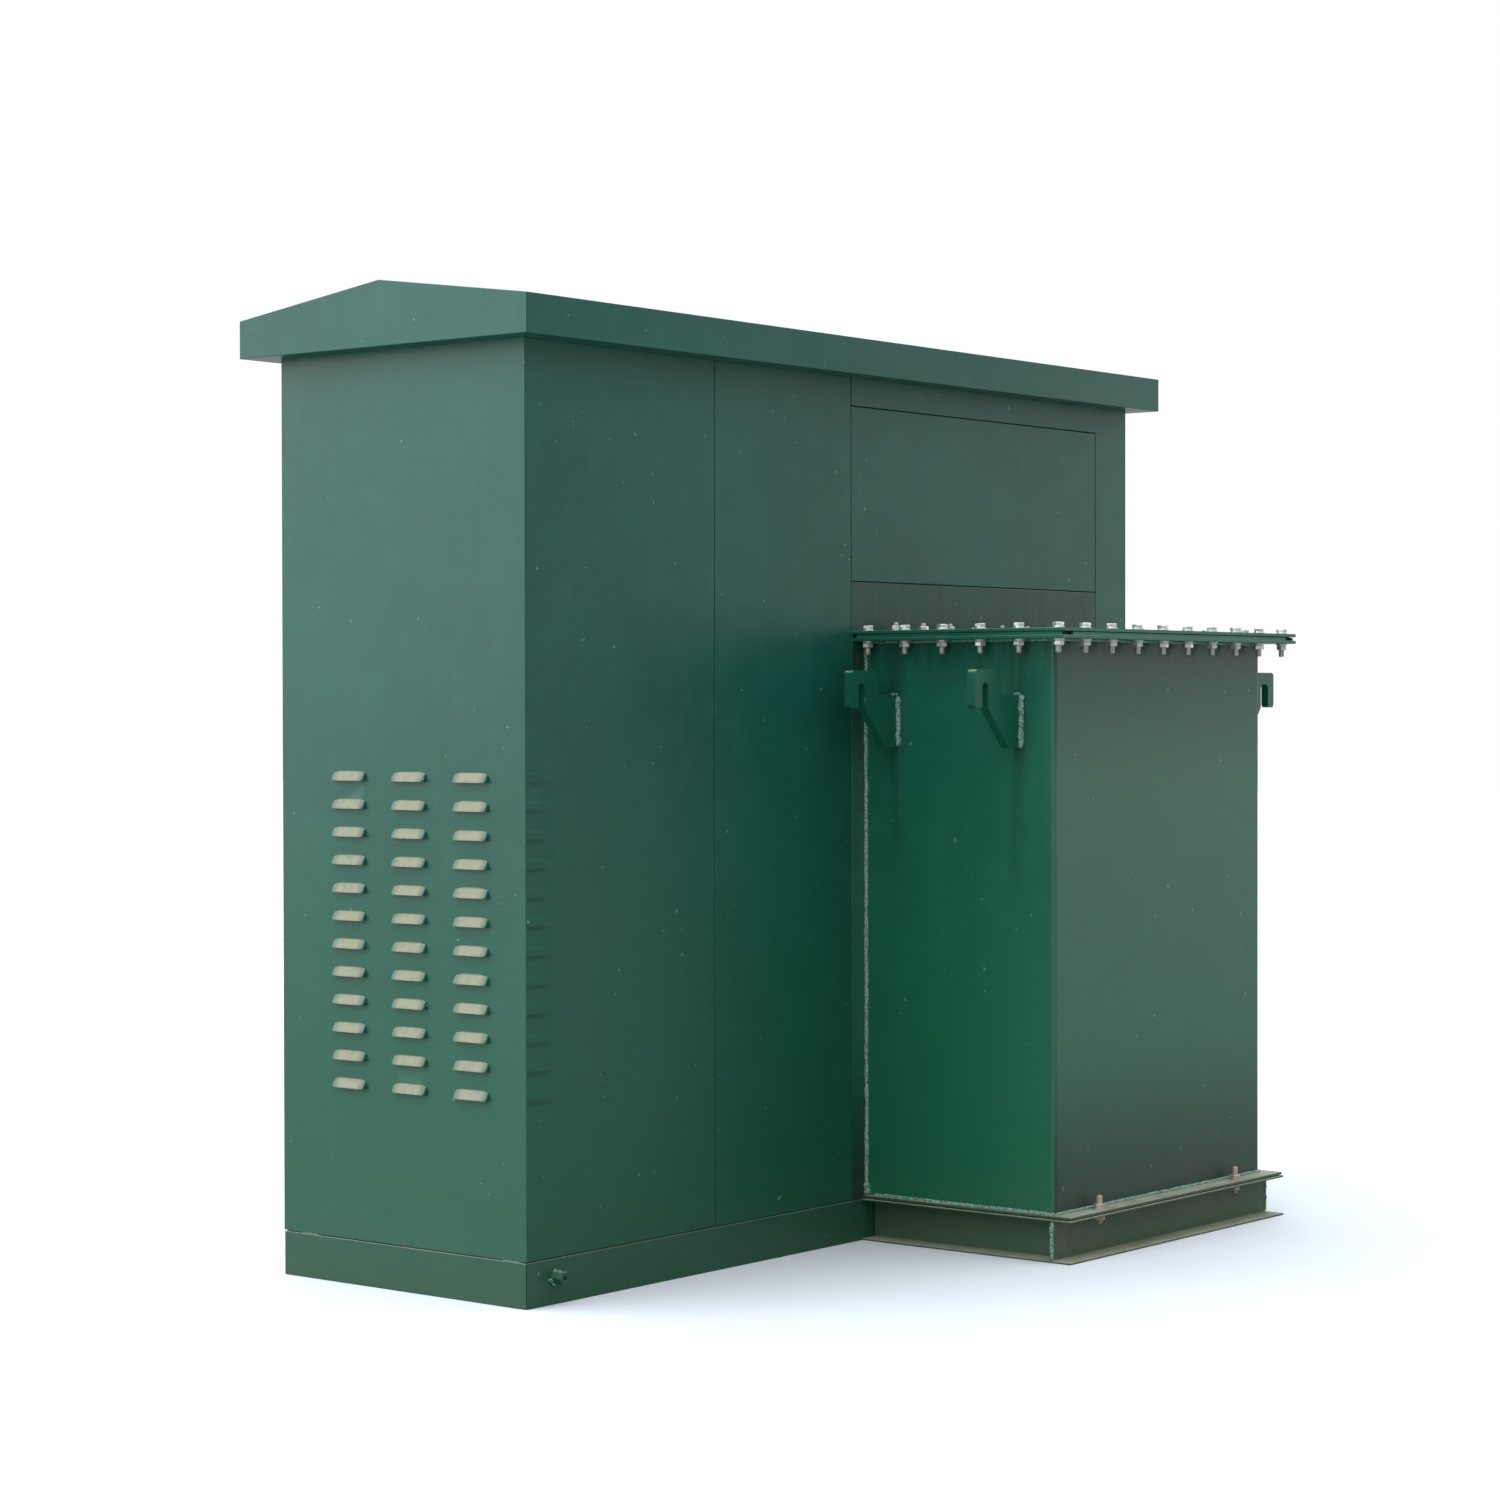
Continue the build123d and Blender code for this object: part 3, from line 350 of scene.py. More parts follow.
def paint_tank_shade(paint, colour):
    """Painted shadow below the lifting hooks and below the rim, and painted shade at the top and foot of the
    side away from the cabinet.
    """
    thin = paint.grain(1, 3, 0.6, (60, 60, 3.5))
    # Painted shadow: a dark streak below each lifting hook.
    for hook_middle in (rear_y + 0.0715, rear_y + 0.3565):
        aside = paint.math("ABSOLUTE", paint.math("SUBTRACT", paint.y, hook_middle))
        run = paint.both(paint.window(aside, 0.006, 0.03, 1, 0), paint.window(paint.z, 0.55, 0.97, 0, 1),
                         paint.window(thin, 0.3, 0.6, 0.3, 1), 0.5)
        colour = paint.over(run, colour, (0.003, 0.045, 0.03, 1))
    # Painted shadow: a dark band below the rim.
    rim_shadow = paint.both(paint.window(paint.z, 1.06, 1.16), paint.window(thin, 0.35, 0.65), 0.5)
    colour = paint.over(rim_shadow, colour, (0.003, 0.05, 0.034, 1))
    # Painted shade: the side away from the cabinet is darker near the ground and below the rim.
    rear_shade = paint.math("MAXIMUM", paint.window(paint.z, 0.09, 0.42, 0.95, 0),
                       paint.window(paint.z, 0.85, 1.12, 0, 0.65))
    rear_shade = paint.both(rear_shade, paint.window(paint.facing_y, 0.3, 0.95))
    return paint.over(rear_shade, colour, (0.01, 0.036, 0.024, 1))


def corner_dirt(paint, colour):
    """Brown dirt that has gathered in the foot channel beside its outer corner."""
    dirt = paint.both(paint.window(paint.y, foot_high.y - 0.06, foot_high.y - 0.03),
                      paint.window(paint.x, foot_high.x - 0.22, foot_high.x - 0.04),
                      paint.window(paint.grain(30, 4, 0.65), 0.4, 0.62), 0.85)
    return paint.over(dirt, colour, srgb(108, 92, 70))


def hood_dust(paint):
    """Pale dust on the slopes of the louvre hoods, less at their ends."""
    proud = paint.window(paint.x, end_x + 0.0006, end_x + 0.0016)
    column = paint.math("DIVIDE", paint.math("SUBTRACT", rear_y - LOUVRE_START, paint.y), LOUVRE_COLUMN)
    across = paint.math("ABSOLUTE", paint.math("SUBTRACT", paint.math("FRACT", column), 0.5))
    middle = paint.window(across, 0.13, 0.265, 1, 0.12)
    return paint.both(proud, middle, paint.window(paint.facing_z, -0.5, 0.15),
                      paint.window(paint.grain(70, 4, 0.6), 0.25, 0.55, 0.7, 1))


def corner_dents(paint):
    """Shallow dents beside the louvred corner, one at each louvre row."""
    row = paint.math("DIVIDE", paint.math("SUBTRACT", paint.z, LOUVRE_TOP - 0.025), LOUVRE_PITCH)
    rows = paint.math("ABSOLUTE", paint.math("SUBTRACT", paint.math("FRACT", row), 0.5))
    beside = paint.both(paint.window(paint.x, end_x - 0.085, end_x - 0.03),
                        paint.window(paint.z, 0.32, 0.35), paint.window(paint.z, 0.92, 0.95, 1, 0))
    return paint.both(paint.window(rows, 0.05, 0.3), beside, -5.0)


def green_enamel(name, deep, dust_on_top=0.75, washed=0.05, splash=0.0, chips=0.0, hoods=False, dents=False,
                 roughness=0.31, streaks=0.05, sheen_and_chalk=0.0, dirty_corner=False, shaded_ends=False):
    """Sprayed green enamel on steel, with road dust, rain wash marks and small chips, painted shade near the
    ground, and painted shade and sheen where asked.
    """
    paint = Finish(name, Specular_IOR_Level=0.5)
    deep = tuple(deep) + (1,)
    pale = tuple(c * 1.2 + 0.001 for c in deep[:3]) + (1,)
    dark = tuple(c * 0.82 for c in deep[:3]) + (1,)
    broad = paint.grain(1.6, 3, 0.6)
    cloud = paint.grain(14, 4, 0.6)
    colour = paint.over(paint.window(broad, 0.32, 0.68), dark, deep)
    colour = paint.over(paint.window(cloud, 0.42, 0.72, 0, 0.35), colour, pale)
    if sheen_and_chalk:
        # The side away from the cabinet is a paler, greyer green, most at mid height: painted sheen, partly
        # chalked paint.
        belt = paint.both(paint.window(paint.z, 0.1, 0.45, 0.25, 1),
                          paint.window(paint.z, 0.85, 1.15, 1, 0.3))
        rear_sheen_and_chalk = paint.both(paint.window(paint.facing_y, 0.3, 0.95),
                           paint.window(broad, 0.2, 0.7, 0.75, 1), belt, sheen_and_chalk)
        colour = paint.over(rear_sheen_and_chalk, colour, srgb(104, 112, 98))
    # Painted shade: near the ground the paint is a darker, yellower green.
    low_shade_tint = (deep[0] * 1.15, deep[1] * 0.93, deep[2] * 0.68, 1)
    colour = paint.over(paint.window(paint.z, 0.0, 1.25, 0.9, 0), colour, low_shade_tint)
    # Painted shadows below the hooks and the rim, and painted shade on the side away from the cabinet.
    if sheen_and_chalk:
        colour = paint_tank_shade(paint, colour)
    # Rain marks run down the sides.
    runs = paint.grain(1, 4, 0.62, (38, 38, 1.1))
    marks = paint.both(paint.window(runs, 0.52, 0.74, 0, streaks), paint.window(cloud, 0.3, 0.7))
    colour = paint.over(marks, colour, srgb(96, 128, 112))
    # Fine specks of dust in the enamel.
    specks = paint.window(paint.grain(520, 2, 0.5), 0.6, 0.72, 0, washed)
    colour = paint.over(specks, colour, srgb(150, 168, 150))
    if dirty_corner:
        colour = corner_dirt(paint, colour)
    if shaded_ends:
        # Painted shade: faces turned to the ends are a darker green.
        end_shade = paint.both(paint.window(paint.math("ABSOLUTE", paint.facing_x), 0.5, 0.9), 0.35)
        colour = paint.over(end_shade, colour, (0.004, 0.055, 0.03, 1))
    # A few pale flecks.
    flecks = paint.window(paint.grain(75, 1, 0.4), 0.79, 0.81)
    colour = paint.over(paint.both(flecks, 0.45), colour, srgb(150, 170, 152))
    # Dust lies on what faces up.
    lying = paint.both(paint.window(paint.facing_z, 0.35, 0.9), paint.window(cloud, 0.25, 0.65, 0.55, 1),
                       dust_on_top)
    colour = paint.over(lying, colour, dust_colour)
    rough = paint.math("ADD", paint.window(broad, 0.2, 0.8, roughness, roughness + 0.06),
                       paint.math("MULTIPLY", cloud, 0.03))
    rough = paint.math("ADD", rough, paint.math("MULTIPLY", lying, 0.4), clamp=True)
    if splash:
        edge = paint.math("ADD", paint.z, paint.math("MULTIPLY", paint.grain(9, 4, 0.65), 0.14))
        low_down = paint.both(paint.window(edge, 0.05, 0.3, 1, 0), splash)
        colour = paint.over(low_down, colour, srgb(120, 116, 92))
        rough = paint.math("ADD", rough, paint.math("MULTIPLY", low_down, 0.3), clamp=True)
    if chips:
        spots = paint.window(paint.grain(95, 3, 0.6), 0.66, 0.69)
        where = paint.window(paint.grain(6.5, 2, 0.5), 0.5, 0.6)
        near_ground = paint.window(paint.z, 0.02, 0.1, 1, 0.15)
        chipped = paint.both(spots, where, near_ground, chips)
        colour = paint.over(chipped, colour, rust_colour)
        rough = paint.math("ADD", rough, paint.math("MULTIPLY", chipped, 0.4), clamp=True)
    if hoods:
        settled = hood_dust(paint)
        colour = paint.over(settled, colour, srgb(150, 148, 122))
        rough = paint.math("ADD", rough, paint.math("MULTIPLY", settled, 0.4), clamp=True)
    peel = paint.grain(260, 2, 0.5)
    wave = paint.grain(5.5, 2, 0.5)
    height = paint.math("ADD", paint.math("MULTIPLY", peel, 0.035), paint.math("MULTIPLY", wave, 1.6))
    if dents:
        height = paint.math("ADD", height, corner_dents(paint))
    return paint.done(colour, rough, height, 0.0006)


def bare_metal(name, colour, roughness=0.38, dull=0.35, metallic=0.9, grain_size=240, tint=None):
    """Plated or bare metal, with dull patches and a fine grain."""
    metal = Finish(name, metallic=metallic)
    base = tuple(colour) + (1,)
    cloud = metal.grain(60, 4, 0.6)
    tone = metal.over(metal.window(cloud, 0.35, 0.7, 0, dull), base, tuple(c * 0.6 for c in colour) + (1,))
    patch = tuple(tint or (c * 0.85 for c in colour)) + (1,)
    tone = metal.over(metal.window(metal.grain(18, 3, 0.6), 0.5, 0.75, 0, 0.5), tone, patch)
    settled = metal.both(metal.window(metal.facing_z, 0.5, 0.95), 0.3)
    tone = metal.over(settled, tone, dust_colour)
    rough = metal.window(metal.grain(110, 3, 0.6), 0.3, 0.7, roughness - 0.08, roughness + 0.16)
    return metal.done(tone, rough, metal.grain(grain_size, 3, 0.6), 0.00015)


def moulded(name, colour, roughness=0.45, grain_size=700, depth=0.0001, dust=0.25, gloss=0.5):
    """A moulded or rubber part with a fine texture and settled dust."""
    part = Finish(name, Specular_IOR_Level=gloss)
    base = tuple(colour) + (1,)
    pale = tuple(min(1, c * 1.35 + 0.01) for c in colour) + (1,)
    tone = part.over(part.window(part.grain(22, 4, 0.6), 0.4, 0.75, 0, 0.6), base, pale)
    settled = part.both(part.window(part.facing_z, 0.3, 0.9), part.window(part.grain(40, 3, 0.6), 0.3, 0.7),
                        dust)
    tone = part.over(settled, tone, dust_colour)
    rough = part.window(part.grain(90, 3, 0.6), 0.3, 0.7, roughness - 0.07, roughness + 0.1)
    return part.done(tone, rough, part.grain(grain_size, 2, 0.5), depth)


def weld_metal(name, paint_colour, bare_colour, bare=0.5, size=330):
    """A painted weld run whose crests have lost or never held the paint."""
    run = Finish(name, Specular_IOR_Level=0.5)
    cloud = run.grain(size, 3, 0.65)
    broken = run.window(cloud, 0.62 - bare * 0.25, 0.72 - bare * 0.2)
    colour = run.over(broken, tuple(paint_colour) + (1,), bare_colour)
    colour = run.over(run.window(run.grain(900, 2, 0.5), 0.6, 0.66, 0, 0.5), colour, srgb(220, 226, 214))
    rough = run.window(cloud, 0.3, 0.7, 0.4, 0.75)
    return run.done(colour, rough, run.grain(500, 3, 0.6), 0.0004)


enamel = (0.005, 0.098, 0.068)
tank_enamel = (0.0056, 0.133, 0.080)
cabinet_green = green_enamel("cabinet_green", enamel, splash=0.04)
corner_green = green_enamel("corner_green", enamel, splash=0.04, dents=True)
louvre_green = green_enamel("louvre_green", enamel, splash=0.06, hoods=True, washed=0.08)
roof_green = green_enamel("roof_green", tuple(c * 1.02 for c in enamel), chips=0.3, streaks=0.06)
base_green = green_enamel("base_green", tuple(c * 0.96 for c in enamel), splash=0.1, chips=0.9,
                          shaded_ends=True)
inside_green = green_enamel("inside_green", enamel, splash=0.04, dust_on_top=0.5, streaks=0.0)
tank_green = green_enamel("tank_green", tank_enamel, splash=0.05, streaks=0.07, roughness=0.33, sheen_and_chalk=0.26)
hook_green = green_enamel("hook_green", tuple(c * 0.86 for c in tank_enamel), chips=0.25, streaks=0.04,
                          dust_on_top=0.6)
foot_green = green_enamel("foot_green", tuple(c * 0.66 for c in tank_enamel), splash=0.31, chips=1.0,
                          dust_on_top=0.95, dirty_corner=True)
cover_green = green_enamel("cover_green", tuple(c * 0.94 for c in tank_enamel), dust_on_top=0.5)
weld_pale = weld_metal("weld_pale", tank_enamel, srgb(150, 178, 160), 0.75)
weld_green = weld_metal("weld_green", tank_enamel, srgb(146, 176, 158), 0.75)
zinc_plate = bare_metal("zinc_plate", (0.8, 0.8, 0.78), 0.36, 0.22, 0.85)
dusty_thread = bare_metal("dusty_thread", (0.52, 0.49, 0.43), 0.5, 0.5, 0.7)
rusty_stud = bare_metal("rusty_stud", (0.6, 0.46, 0.36), 0.5, 0.5, 0.6, tint=(0.42, 0.22, 0.1))
galvanised = bare_metal("galvanised_sheet", (0.5, 0.51, 0.52), 0.42, 0.4, 0.85)
lever_black = moulded("lever_black", (0.018, 0.018, 0.019), 0.4)
seal_rubber = moulded("seal_rubber", (0.012, 0.012, 0.012), 0.65, 900, 0.0002)
core_plate = bare_metal("core_plate", (0.14, 0.15, 0.17), 0.45, 0.4, 0.7)
copper_bar = bare_metal("copper_bar", (0.72, 0.33, 0.18), 0.32, 0.5, 0.95, tint=(0.36, 0.17, 0.1))
bushing_epoxy = moulded("bushing_epoxy", (0.21, 0.07, 0.035), 0.28, 300, 0.0001, 0.2, 0.6)
black_case = moulded("black_case", (0.02, 0.021, 0.022), 0.48, 1100)
signal_red = moulded("signal_red", (0.42, 0.018, 0.012), 0.38)
gauge_steel = bare_metal("gauge_steel", (0.55, 0.55, 0.54), 0.3)
brass = bare_metal("brass", (0.62, 0.45, 0.17), 0.33, 0.4, 0.95)
dial_white = moulded("dial_white", (0.72, 0.72, 0.69), 0.35, 600, 0.00003, 0.1)
dial_black = moulded("dial_black", (0.015, 0.015, 0.015), 0.5, 600, 0.00003, 0.05)
sight_glass = moulded("sight_glass", (0.3, 0.19, 0.03), 0.12, 300, 0.00002, 0.1, 0.6)

finish_of_slot = {"green_paint": inside_green, "tank_paint": tank_green, "galvanised": galvanised,
                  "zinc": zinc_plate, "black_lever": lever_black, "gasket_rubber": seal_rubber,
                  "core_steel": core_plate, "copper": copper_bar, "epoxy": bushing_epoxy,
                  "black_moulding": black_case, "red_handle": signal_red, "gauge_metal": gauge_steel,
                  "brass_fitting": brass}
for name, node in nodes.items():
    finish = finish_of_slot[slot_of[name]]
    for slot in node.material_slots:
        slot.material = finish

# ---------------------------------------------------------------- sheet metal and plates
for name, finish, width in (
        ("end_wall_louvred", louvre_green, 0.0016), ("end_wall_plain", cabinet_green, 0.0016),
        ("rear_panel_outer", corner_green, 0.0014), ("rear_panel_inner", cabinet_green, 0.0014),
        ("rear_hatch", cabinet_green, 0.0016), ("rear_surround", cabinet_green, 0.0008),
        ("roof_shell", roof_green, 0.0011), ("cabinet_base_frame", base_green, 0.0018),
        ("front_frame", cabinet_green, 0.0008), ("hv_door", cabinet_green, 0.0011),
        ("lv_door", cabinet_green, 0.0011), ("room_door_left", cabinet_green, 0.0011),
        ("room_door_right", cabinet_green, 0.0011), ("tank_body", tank_green, 0.0012),
        ("tank_front_plate", tank_green, 0.001), ("tank_bottom_plate", foot_green, 0.0012),
        ("tank_foot", foot_green, 0.0014), ("tank_rim", cover_green, 0.0009),
        ("tank_cover", cover_green, 0.0011), ("lifting_hooks", hook_green, 0.0016)):
    dressed(name, finish, width)

for name, width in (("cabinet_frame", 0.0008), ("compartment_barriers", 0.0008), ("breaker_panel", 0.0008),
                    ("main_breaker", 0.002), ("feeder_breakers", 0.002), ("busbars", 0.0007),
                    ("main_toggle", 0.0012), ("feeder_toggle_1", 0.001), ("feeder_toggle_2", 0.001),
                    ("feeder_toggle_3", 0.001), ("lv_lock_handle", 0.0018), ("room_lock_handle", 0.0018),
                    ("lv_lock_rod_upper", 0.0006), ("lv_lock_rod_lower", 0.0006),
                    ("room_lock_rod_upper", 0.0006), ("room_lock_rod_lower", 0.0006),
                    ("load_switch_handle", 0.0015), ("tap_changer_knob", 0.0012),
                    ("oil_level_gauge", 0.001), ("core", 0.0015), ("earth_boss", 0.0012)):
    dressed(name, finish_of_slot[slot_of[name]], width, 0.008)

# ---------------------------------------------------------------- cover bolts
M12_FLATS = 0.019
HEX_CORNER = math.sqrt(3)
BOLT_MARGIN = 0.02
BOLT_ROW_INSET = 0.022
BOLT_COLUMNS = 10
BOLT_ROWS = 6


def hexagon(z0, z1, across, chamfer=0.0011):
    """A nut or bolt head with its corners turned off."""
    radius = across / HEX_CORNER
    return turned((0, 0, 0), [(radius * 0.9, z0), (radius, z0 + chamfer), (radius, z1 - chamfer),
                              (radius * 0.9, z1)], sides=6)


def threaded(z0, z1, radius=0.0058, pitch=0.00175):
    """A length of thread with a rounded tip at its upper end."""
    profile = [(radius * 0.9, z0)]
    turns = int((z1 - 0.0015 - z0) / pitch)
    for turn in range(turns):
        profile += [(radius, z0 + (turn + 0.5) * pitch), (radius * 0.9, z0 + (turn + 1) * pitch)]
    profile += [(radius * 0.78, z1)]
    return turned((0, 0, 0), profile, sides=14)


def washers(z0, up):
    """A flat washer with a split spring washer on it, standing up or hanging."""
    flat = turned((0, 0, 0), [(0.0116, 0), (0.012, 0.0004), (0.012, 0.0016), (0.0116, 0.002)], sides=26)
    spring = ring((0, 0, 0.0031), 0.0088, 0.0011, sides=22, round_sides=6)
    both = [flat, spring]
    for piece in both:
        piece.data.transform(Matrix.Translation((0, 0, z0)) @ Matrix.Diagonal((1, 1, up, 1)))
        if up < 0:
            piece.data.flip_normals()
    return both


def make_cover_bolts():
    """Bolts through rim and cover. The inner ones beside the cabinet are put in from below."""
    thickness = cover_high.z - rim_low.z
    shank = turned((0, 0, 0), [(0.0058, -0.004), (0.0058, thickness)], sides=14)
    head = join("bolt_head", washers(thickness, 1) + [
        hexagon(thickness + 0.0042, thickness + 0.0103, M12_FLATS),
        hexagon(thickness + 0.0098, thickness + 0.0105, 0.0128, 0.0003), shank])
    nut_end = -0.0125
    nut = join("bolt_nut", washers(0, -1) + [hexagon(nut_end, -0.0042, M12_FLATS)])
    long_end = threaded(nut_end - 0.014, nut_end)
    short_end = threaded(nut_end - 0.006, nut_end)
    for end, reach in ((long_end, 0.014), (short_end, 0.006)):
        # Turned end for end, so that the rounded tip is the free one.
        end.data.transform(Matrix.Translation((0, 0, 2 * nut_end - reach)) @ Matrix.Diagonal((1, 1, -1, 1)))
        end.data.flip_normals()
    heads, nuts, ends = [], [], []
    pitch_x = (rim_high.x - rim_low.x - 2 * BOLT_MARGIN) / (BOLT_COLUMNS - 1)
    pitch_y = (rim_high.y - rear_y - 2 * BOLT_ROW_INSET) / (BOLT_ROWS - 1)
    for column in range(BOLT_COLUMNS):
        for row in range(BOLT_ROWS):
            inner_column = 0 < column < BOLT_COLUMNS - 1
            if 0 < row < BOLT_ROWS - 1 and inner_column:
                continue
            x = rim_low.x + BOLT_MARGIN + column * pitch_x
            y = rear_y + BOLT_ROW_INSET + row * pitch_y
            hanging = row == 0 and inner_column
            place = Matrix.Translation((x, y, rim_low.z))
            if hanging:
                place = Matrix.Translation((x, y, cover_high.z)) @ Matrix.Rotation(math.pi, 4, "X")
            heads.append(copy_at(head, place @ Matrix.Rotation(chance.uniform(0, math.tau), 4, "Z")))
            nuts.append(copy_at(nut, place @ Matrix.Rotation(chance.uniform(0, math.tau), 4, "Z")))
            ends.append(copy_at(short_end if hanging else long_end, place))
    for pattern in (head, nut, long_end, short_end):
        bpy.data.objects.remove(pattern)
    fit(join("cover_bolt_heads", heads), zinc_plate, stands_for=("cover_bolts",))
    fit(join("cover_bolt_threads", ends, 80), dusty_thread)
    fit(join("cover_bolt_nuts", nuts), zinc_plate, stands_for=("cover_nuts",))


make_cover_bolts()


def make_foot_studs():
    """Studs through the bottom plate and the foot, with a nut above and a nut below."""
    studs = []
    low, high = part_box("foot_studs")
    nut = 0.01
    floor_z = bottom_high.z
    for x in (-0.14, -0.64):
        spot = Vector((x, foot_high.y - 0.022, 0))
        for piece in (hexagon(low.z + 0.006, low.z + 0.006 + nut, M12_FLATS),
                      hexagon(floor_z, floor_z + nut, M12_FLATS), threaded(low.z, high.z),
                      turned((0, 0, 0), [(0.0118, floor_z), (0.0118, floor_z + 0.0015)], sides=26)):
            piece.data.transform(Matrix.Translation(spot) @ Matrix.Rotation(chance.uniform(0, 1), 4, "Z"))
            studs.append(piece)
    fit(join("foot_stud_set", studs, 40), rusty_stud, stands_for=("foot_studs",))


make_foot_studs()


# ---------------------------------------------------------------- weld runs
def make_welds():
    """Weld runs where the tank, its foot, its rim and its hooks are joined."""
    right, left, rear = tank_high.x, tank_low.x, tank_high.y
    out = 0.001
    knobbly = []
    for x in (right + out, left - out):
        y = rear_y + 0.0035
        knobbly.append(bead("corner_run", (x, y, 0.09), (x, y, 1.162), 0.0042, 0.002))
        y = rear_y + 0.005
        knobbly.append(bead("corner_foot", (x, y, 0.089), (x, y, 0.112), 0.0072, 0.003))
    fit(join("tank_corner_welds", knobbly, 70), weld_pale)

    runs = []
    for z, start, radius, lumps in ((bottom_high.z + 0.0015, 0.02, 0.0034, 0.0012),
                                    (rim_low.z - 0.0012, 0.01, 0.003, 0.001)):
        runs.append(bead("rear_run", (left, rear + out, z), (right, rear + out, z), radius, lumps))
        for x in (right + out, left - out):
            runs.append(bead("side_run", (x, rear_y + start, z), (x, rear, z), radius, lumps))
    # side, rear face and thickness of each lifting hook
    for side, hook_rear, thickness in ((1, 0.0805, 0.018), (1, 0.3655, 0.018), (-1, 0.0805, 0.016),
                                       (-1, 0.388, 0.016)):
        wall = right if side > 0 else left
        far, near = rear_y + hook_rear, rear_y + hook_rear - thickness
        x = wall + side * 0.003
        for y in (far + 0.0012, near - 0.0012):
            runs.append(bead("hook_run", (x, y, 0.962), (x, y, 1.059), 0.0056, 0.0042))
        x = wall + side * 0.0015
        runs.append(bead("hook_top", (x, near, 1.0615), (x, far, 1.0615), 0.0034, 0.0014))
    fit(join("tank_welds", runs, 70), weld_green)

    y = foot_high.y - 0.0425
    feet = [bead("foot_corner", (x, y, 0.005), (x, y, 0.076), 0.0038, 0.0016)
            for x in (foot_high.x - 0.0022, foot_low.x + 0.0022)]
    boss_low, boss_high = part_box("earth_boss")
    boss_x, boss_z = (boss_low.x + boss_high.x) / 2, (boss_low.z + boss_high.z) / 2
    for dx, dz in ((-0.0125, -0.004), (0.0125, -0.004), (0, 0.0115), (0.004, -0.0115), (-0.01, 0.008)):
        feet.append(bead("boss_run", (boss_x + dx, rear_y - 0.001, boss_z + dz),
                         (boss_x + dx * 0.9, rear_y + 0.006, boss_z + dz * 0.9), 0.0038, 0.0014, 0.0012))
    fit(join("foot_and_boss_welds", feet, 70), weld_pale)


make_welds()


# ---------------------------------------------------------------- front plate fittings
plate_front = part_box("oil_level_gauge")[1].y


def middle_of(node):
    low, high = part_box(node)
    return (low + high) / 2


def screws(spots, across=0.013, reach=0.0075, thickness=0.002):
    """Hexagon screws with washers on a plate that faces the doors."""
    made = []
    for x, y, z in spots:
        head = hexagon(thickness, reach, across, 0.0007)
        washer = turned((0, 0, 0), [(across * 0.82, 0), (across * 0.86, 0.0003), (across * 0.86, thickness)],
                        sides=20)
        for piece in (head, washer):
            piece.data.transform(Matrix.Translation((x, y, z)) @ Matrix.Rotation(math.radians(90), 4, "X")
                                 @ Matrix.Rotation(chance.uniform(0, 1), 4, "Z"))
            made.append(piece)
    return made


def around(x, y, z, radius, count, start=0.0):
    return [(x + radius * math.cos(start + i * math.tau / count), y,
             z + radius * math.sin(start + i * math.tau / count)) for i in range(count)]


def make_hv_bushings():
    """High-voltage bushings with their flanges, and the flange screws of the fuse wells."""
    hv_z = middle_of("hv_bushings").z
    fuse_z = middle_of("fuse_wells").z
    mouldings, bolts = [], []
    for phase in "abc":
        x = middle_of(f"fuse_holder_{phase}").x
        mouldings.append(turned((x, plate_front, hv_z), [
            (0.041, 0), (0.042, 0.001), (0.042, 0.011), (0.0405, 0.0125), (0.036, 0.0135), (0.0345, 0.02),
            (0.0345, 0.05), (0.0325, 0.058), (0.0325, 0.076), (0.030, 0.08), (0.0235, 0.0803),
            (0.0225, 0.1095), (0.0205, 0.112)], "-Y", 40))
        mouldings.append(turned((x, plate_front - 0.112, hv_z), [
            (0.0105, -0.004), (0.0105, 0.001), (0.0085, 0.002), (0.0085, 0.0165), (0.0072, 0.018)], "-Y", 24))
        mouldings.append(turned((x, rear_y + 0.001, hv_z), [
            (0.0215, 0), (0.0225, 0.001), (0.0225, 0.05), (0.018, 0.059)], "Y", 32))
        bolts += screws(around(x, plate_front - 0.0125, hv_z, 0.0385, 4, math.pi / 4), 0.008, 0.005, 0.001)
        bolts += screws(around(x, plate_front - 0.008, fuse_z, 0.0315, 4, math.pi / 4), 0.007, 0.0045, 0.001)
    fit(join("hv_bushing_mouldings", mouldings), bushing_epoxy, stands_for=("hv_bushings",))
    return bolts


def make_lv_bushings():
    """Low-voltage bushings with three sheds each, and the copper lugs that the bars are bolted to."""
    low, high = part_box("lv_bushings")
    z = (low.z + high.z) / 2
    shed = 0.038
    spread = (high.x - low.x - 2 * shed) / 3
    lug_front = plate_front - 0.14
    bar_thickness = 0.008
    profile = [(0.024, -0.004), (0.024, 0.0)]
    for along in (0.0, 0.03, 0.06):
        profile += [(0.0345, along + 0.001), (0.0378, along + 0.003), (shed, along + 0.005),
                    (0.0355, along + 0.0075), (0.0265, along + 0.0115), (0.024, along + 0.016),
                    (0.024, along + 0.028)]
    profile += [(0.023, 0.097), (0.0225, 0.105), (0.0205, 0.1095)]
    sheds, lugs, bolts = [], [], []
    for i in range(4):
        x = low.x + shed + i * spread
        sheds.append(turned((x, plate_front, z), profile, "-Y", 40))
        lugs.append(turned((x, plate_front - 0.104, z), [(0.0138, 0), (0.0138, 0.0285)], "-Y", 28))
        lugs.append(turned((x, plate_front - 0.1095, z), [(0.019, 0), (0.019, 0.0045), (0.0182, 0.0052)],
                           "-Y", 6))
        lugs.append(slab((x - 0.025, lug_front, z - 0.03), (x + 0.025, lug_front + bar_thickness, z + 0.03),
                         0.0018, 0.004))
        bolts += screws([(x + dx, lug_front - bar_thickness, z + dz)
                         for dx in (-0.012, 0.012) for dz in (-0.016, 0.016)], 0.012)
    fit(join("lv_bushing_sheds", sheds), bushing_epoxy, stands_for=("lv_bushings",))
    fit(join("lv_lugs", lugs), copper_bar)
    return bolts


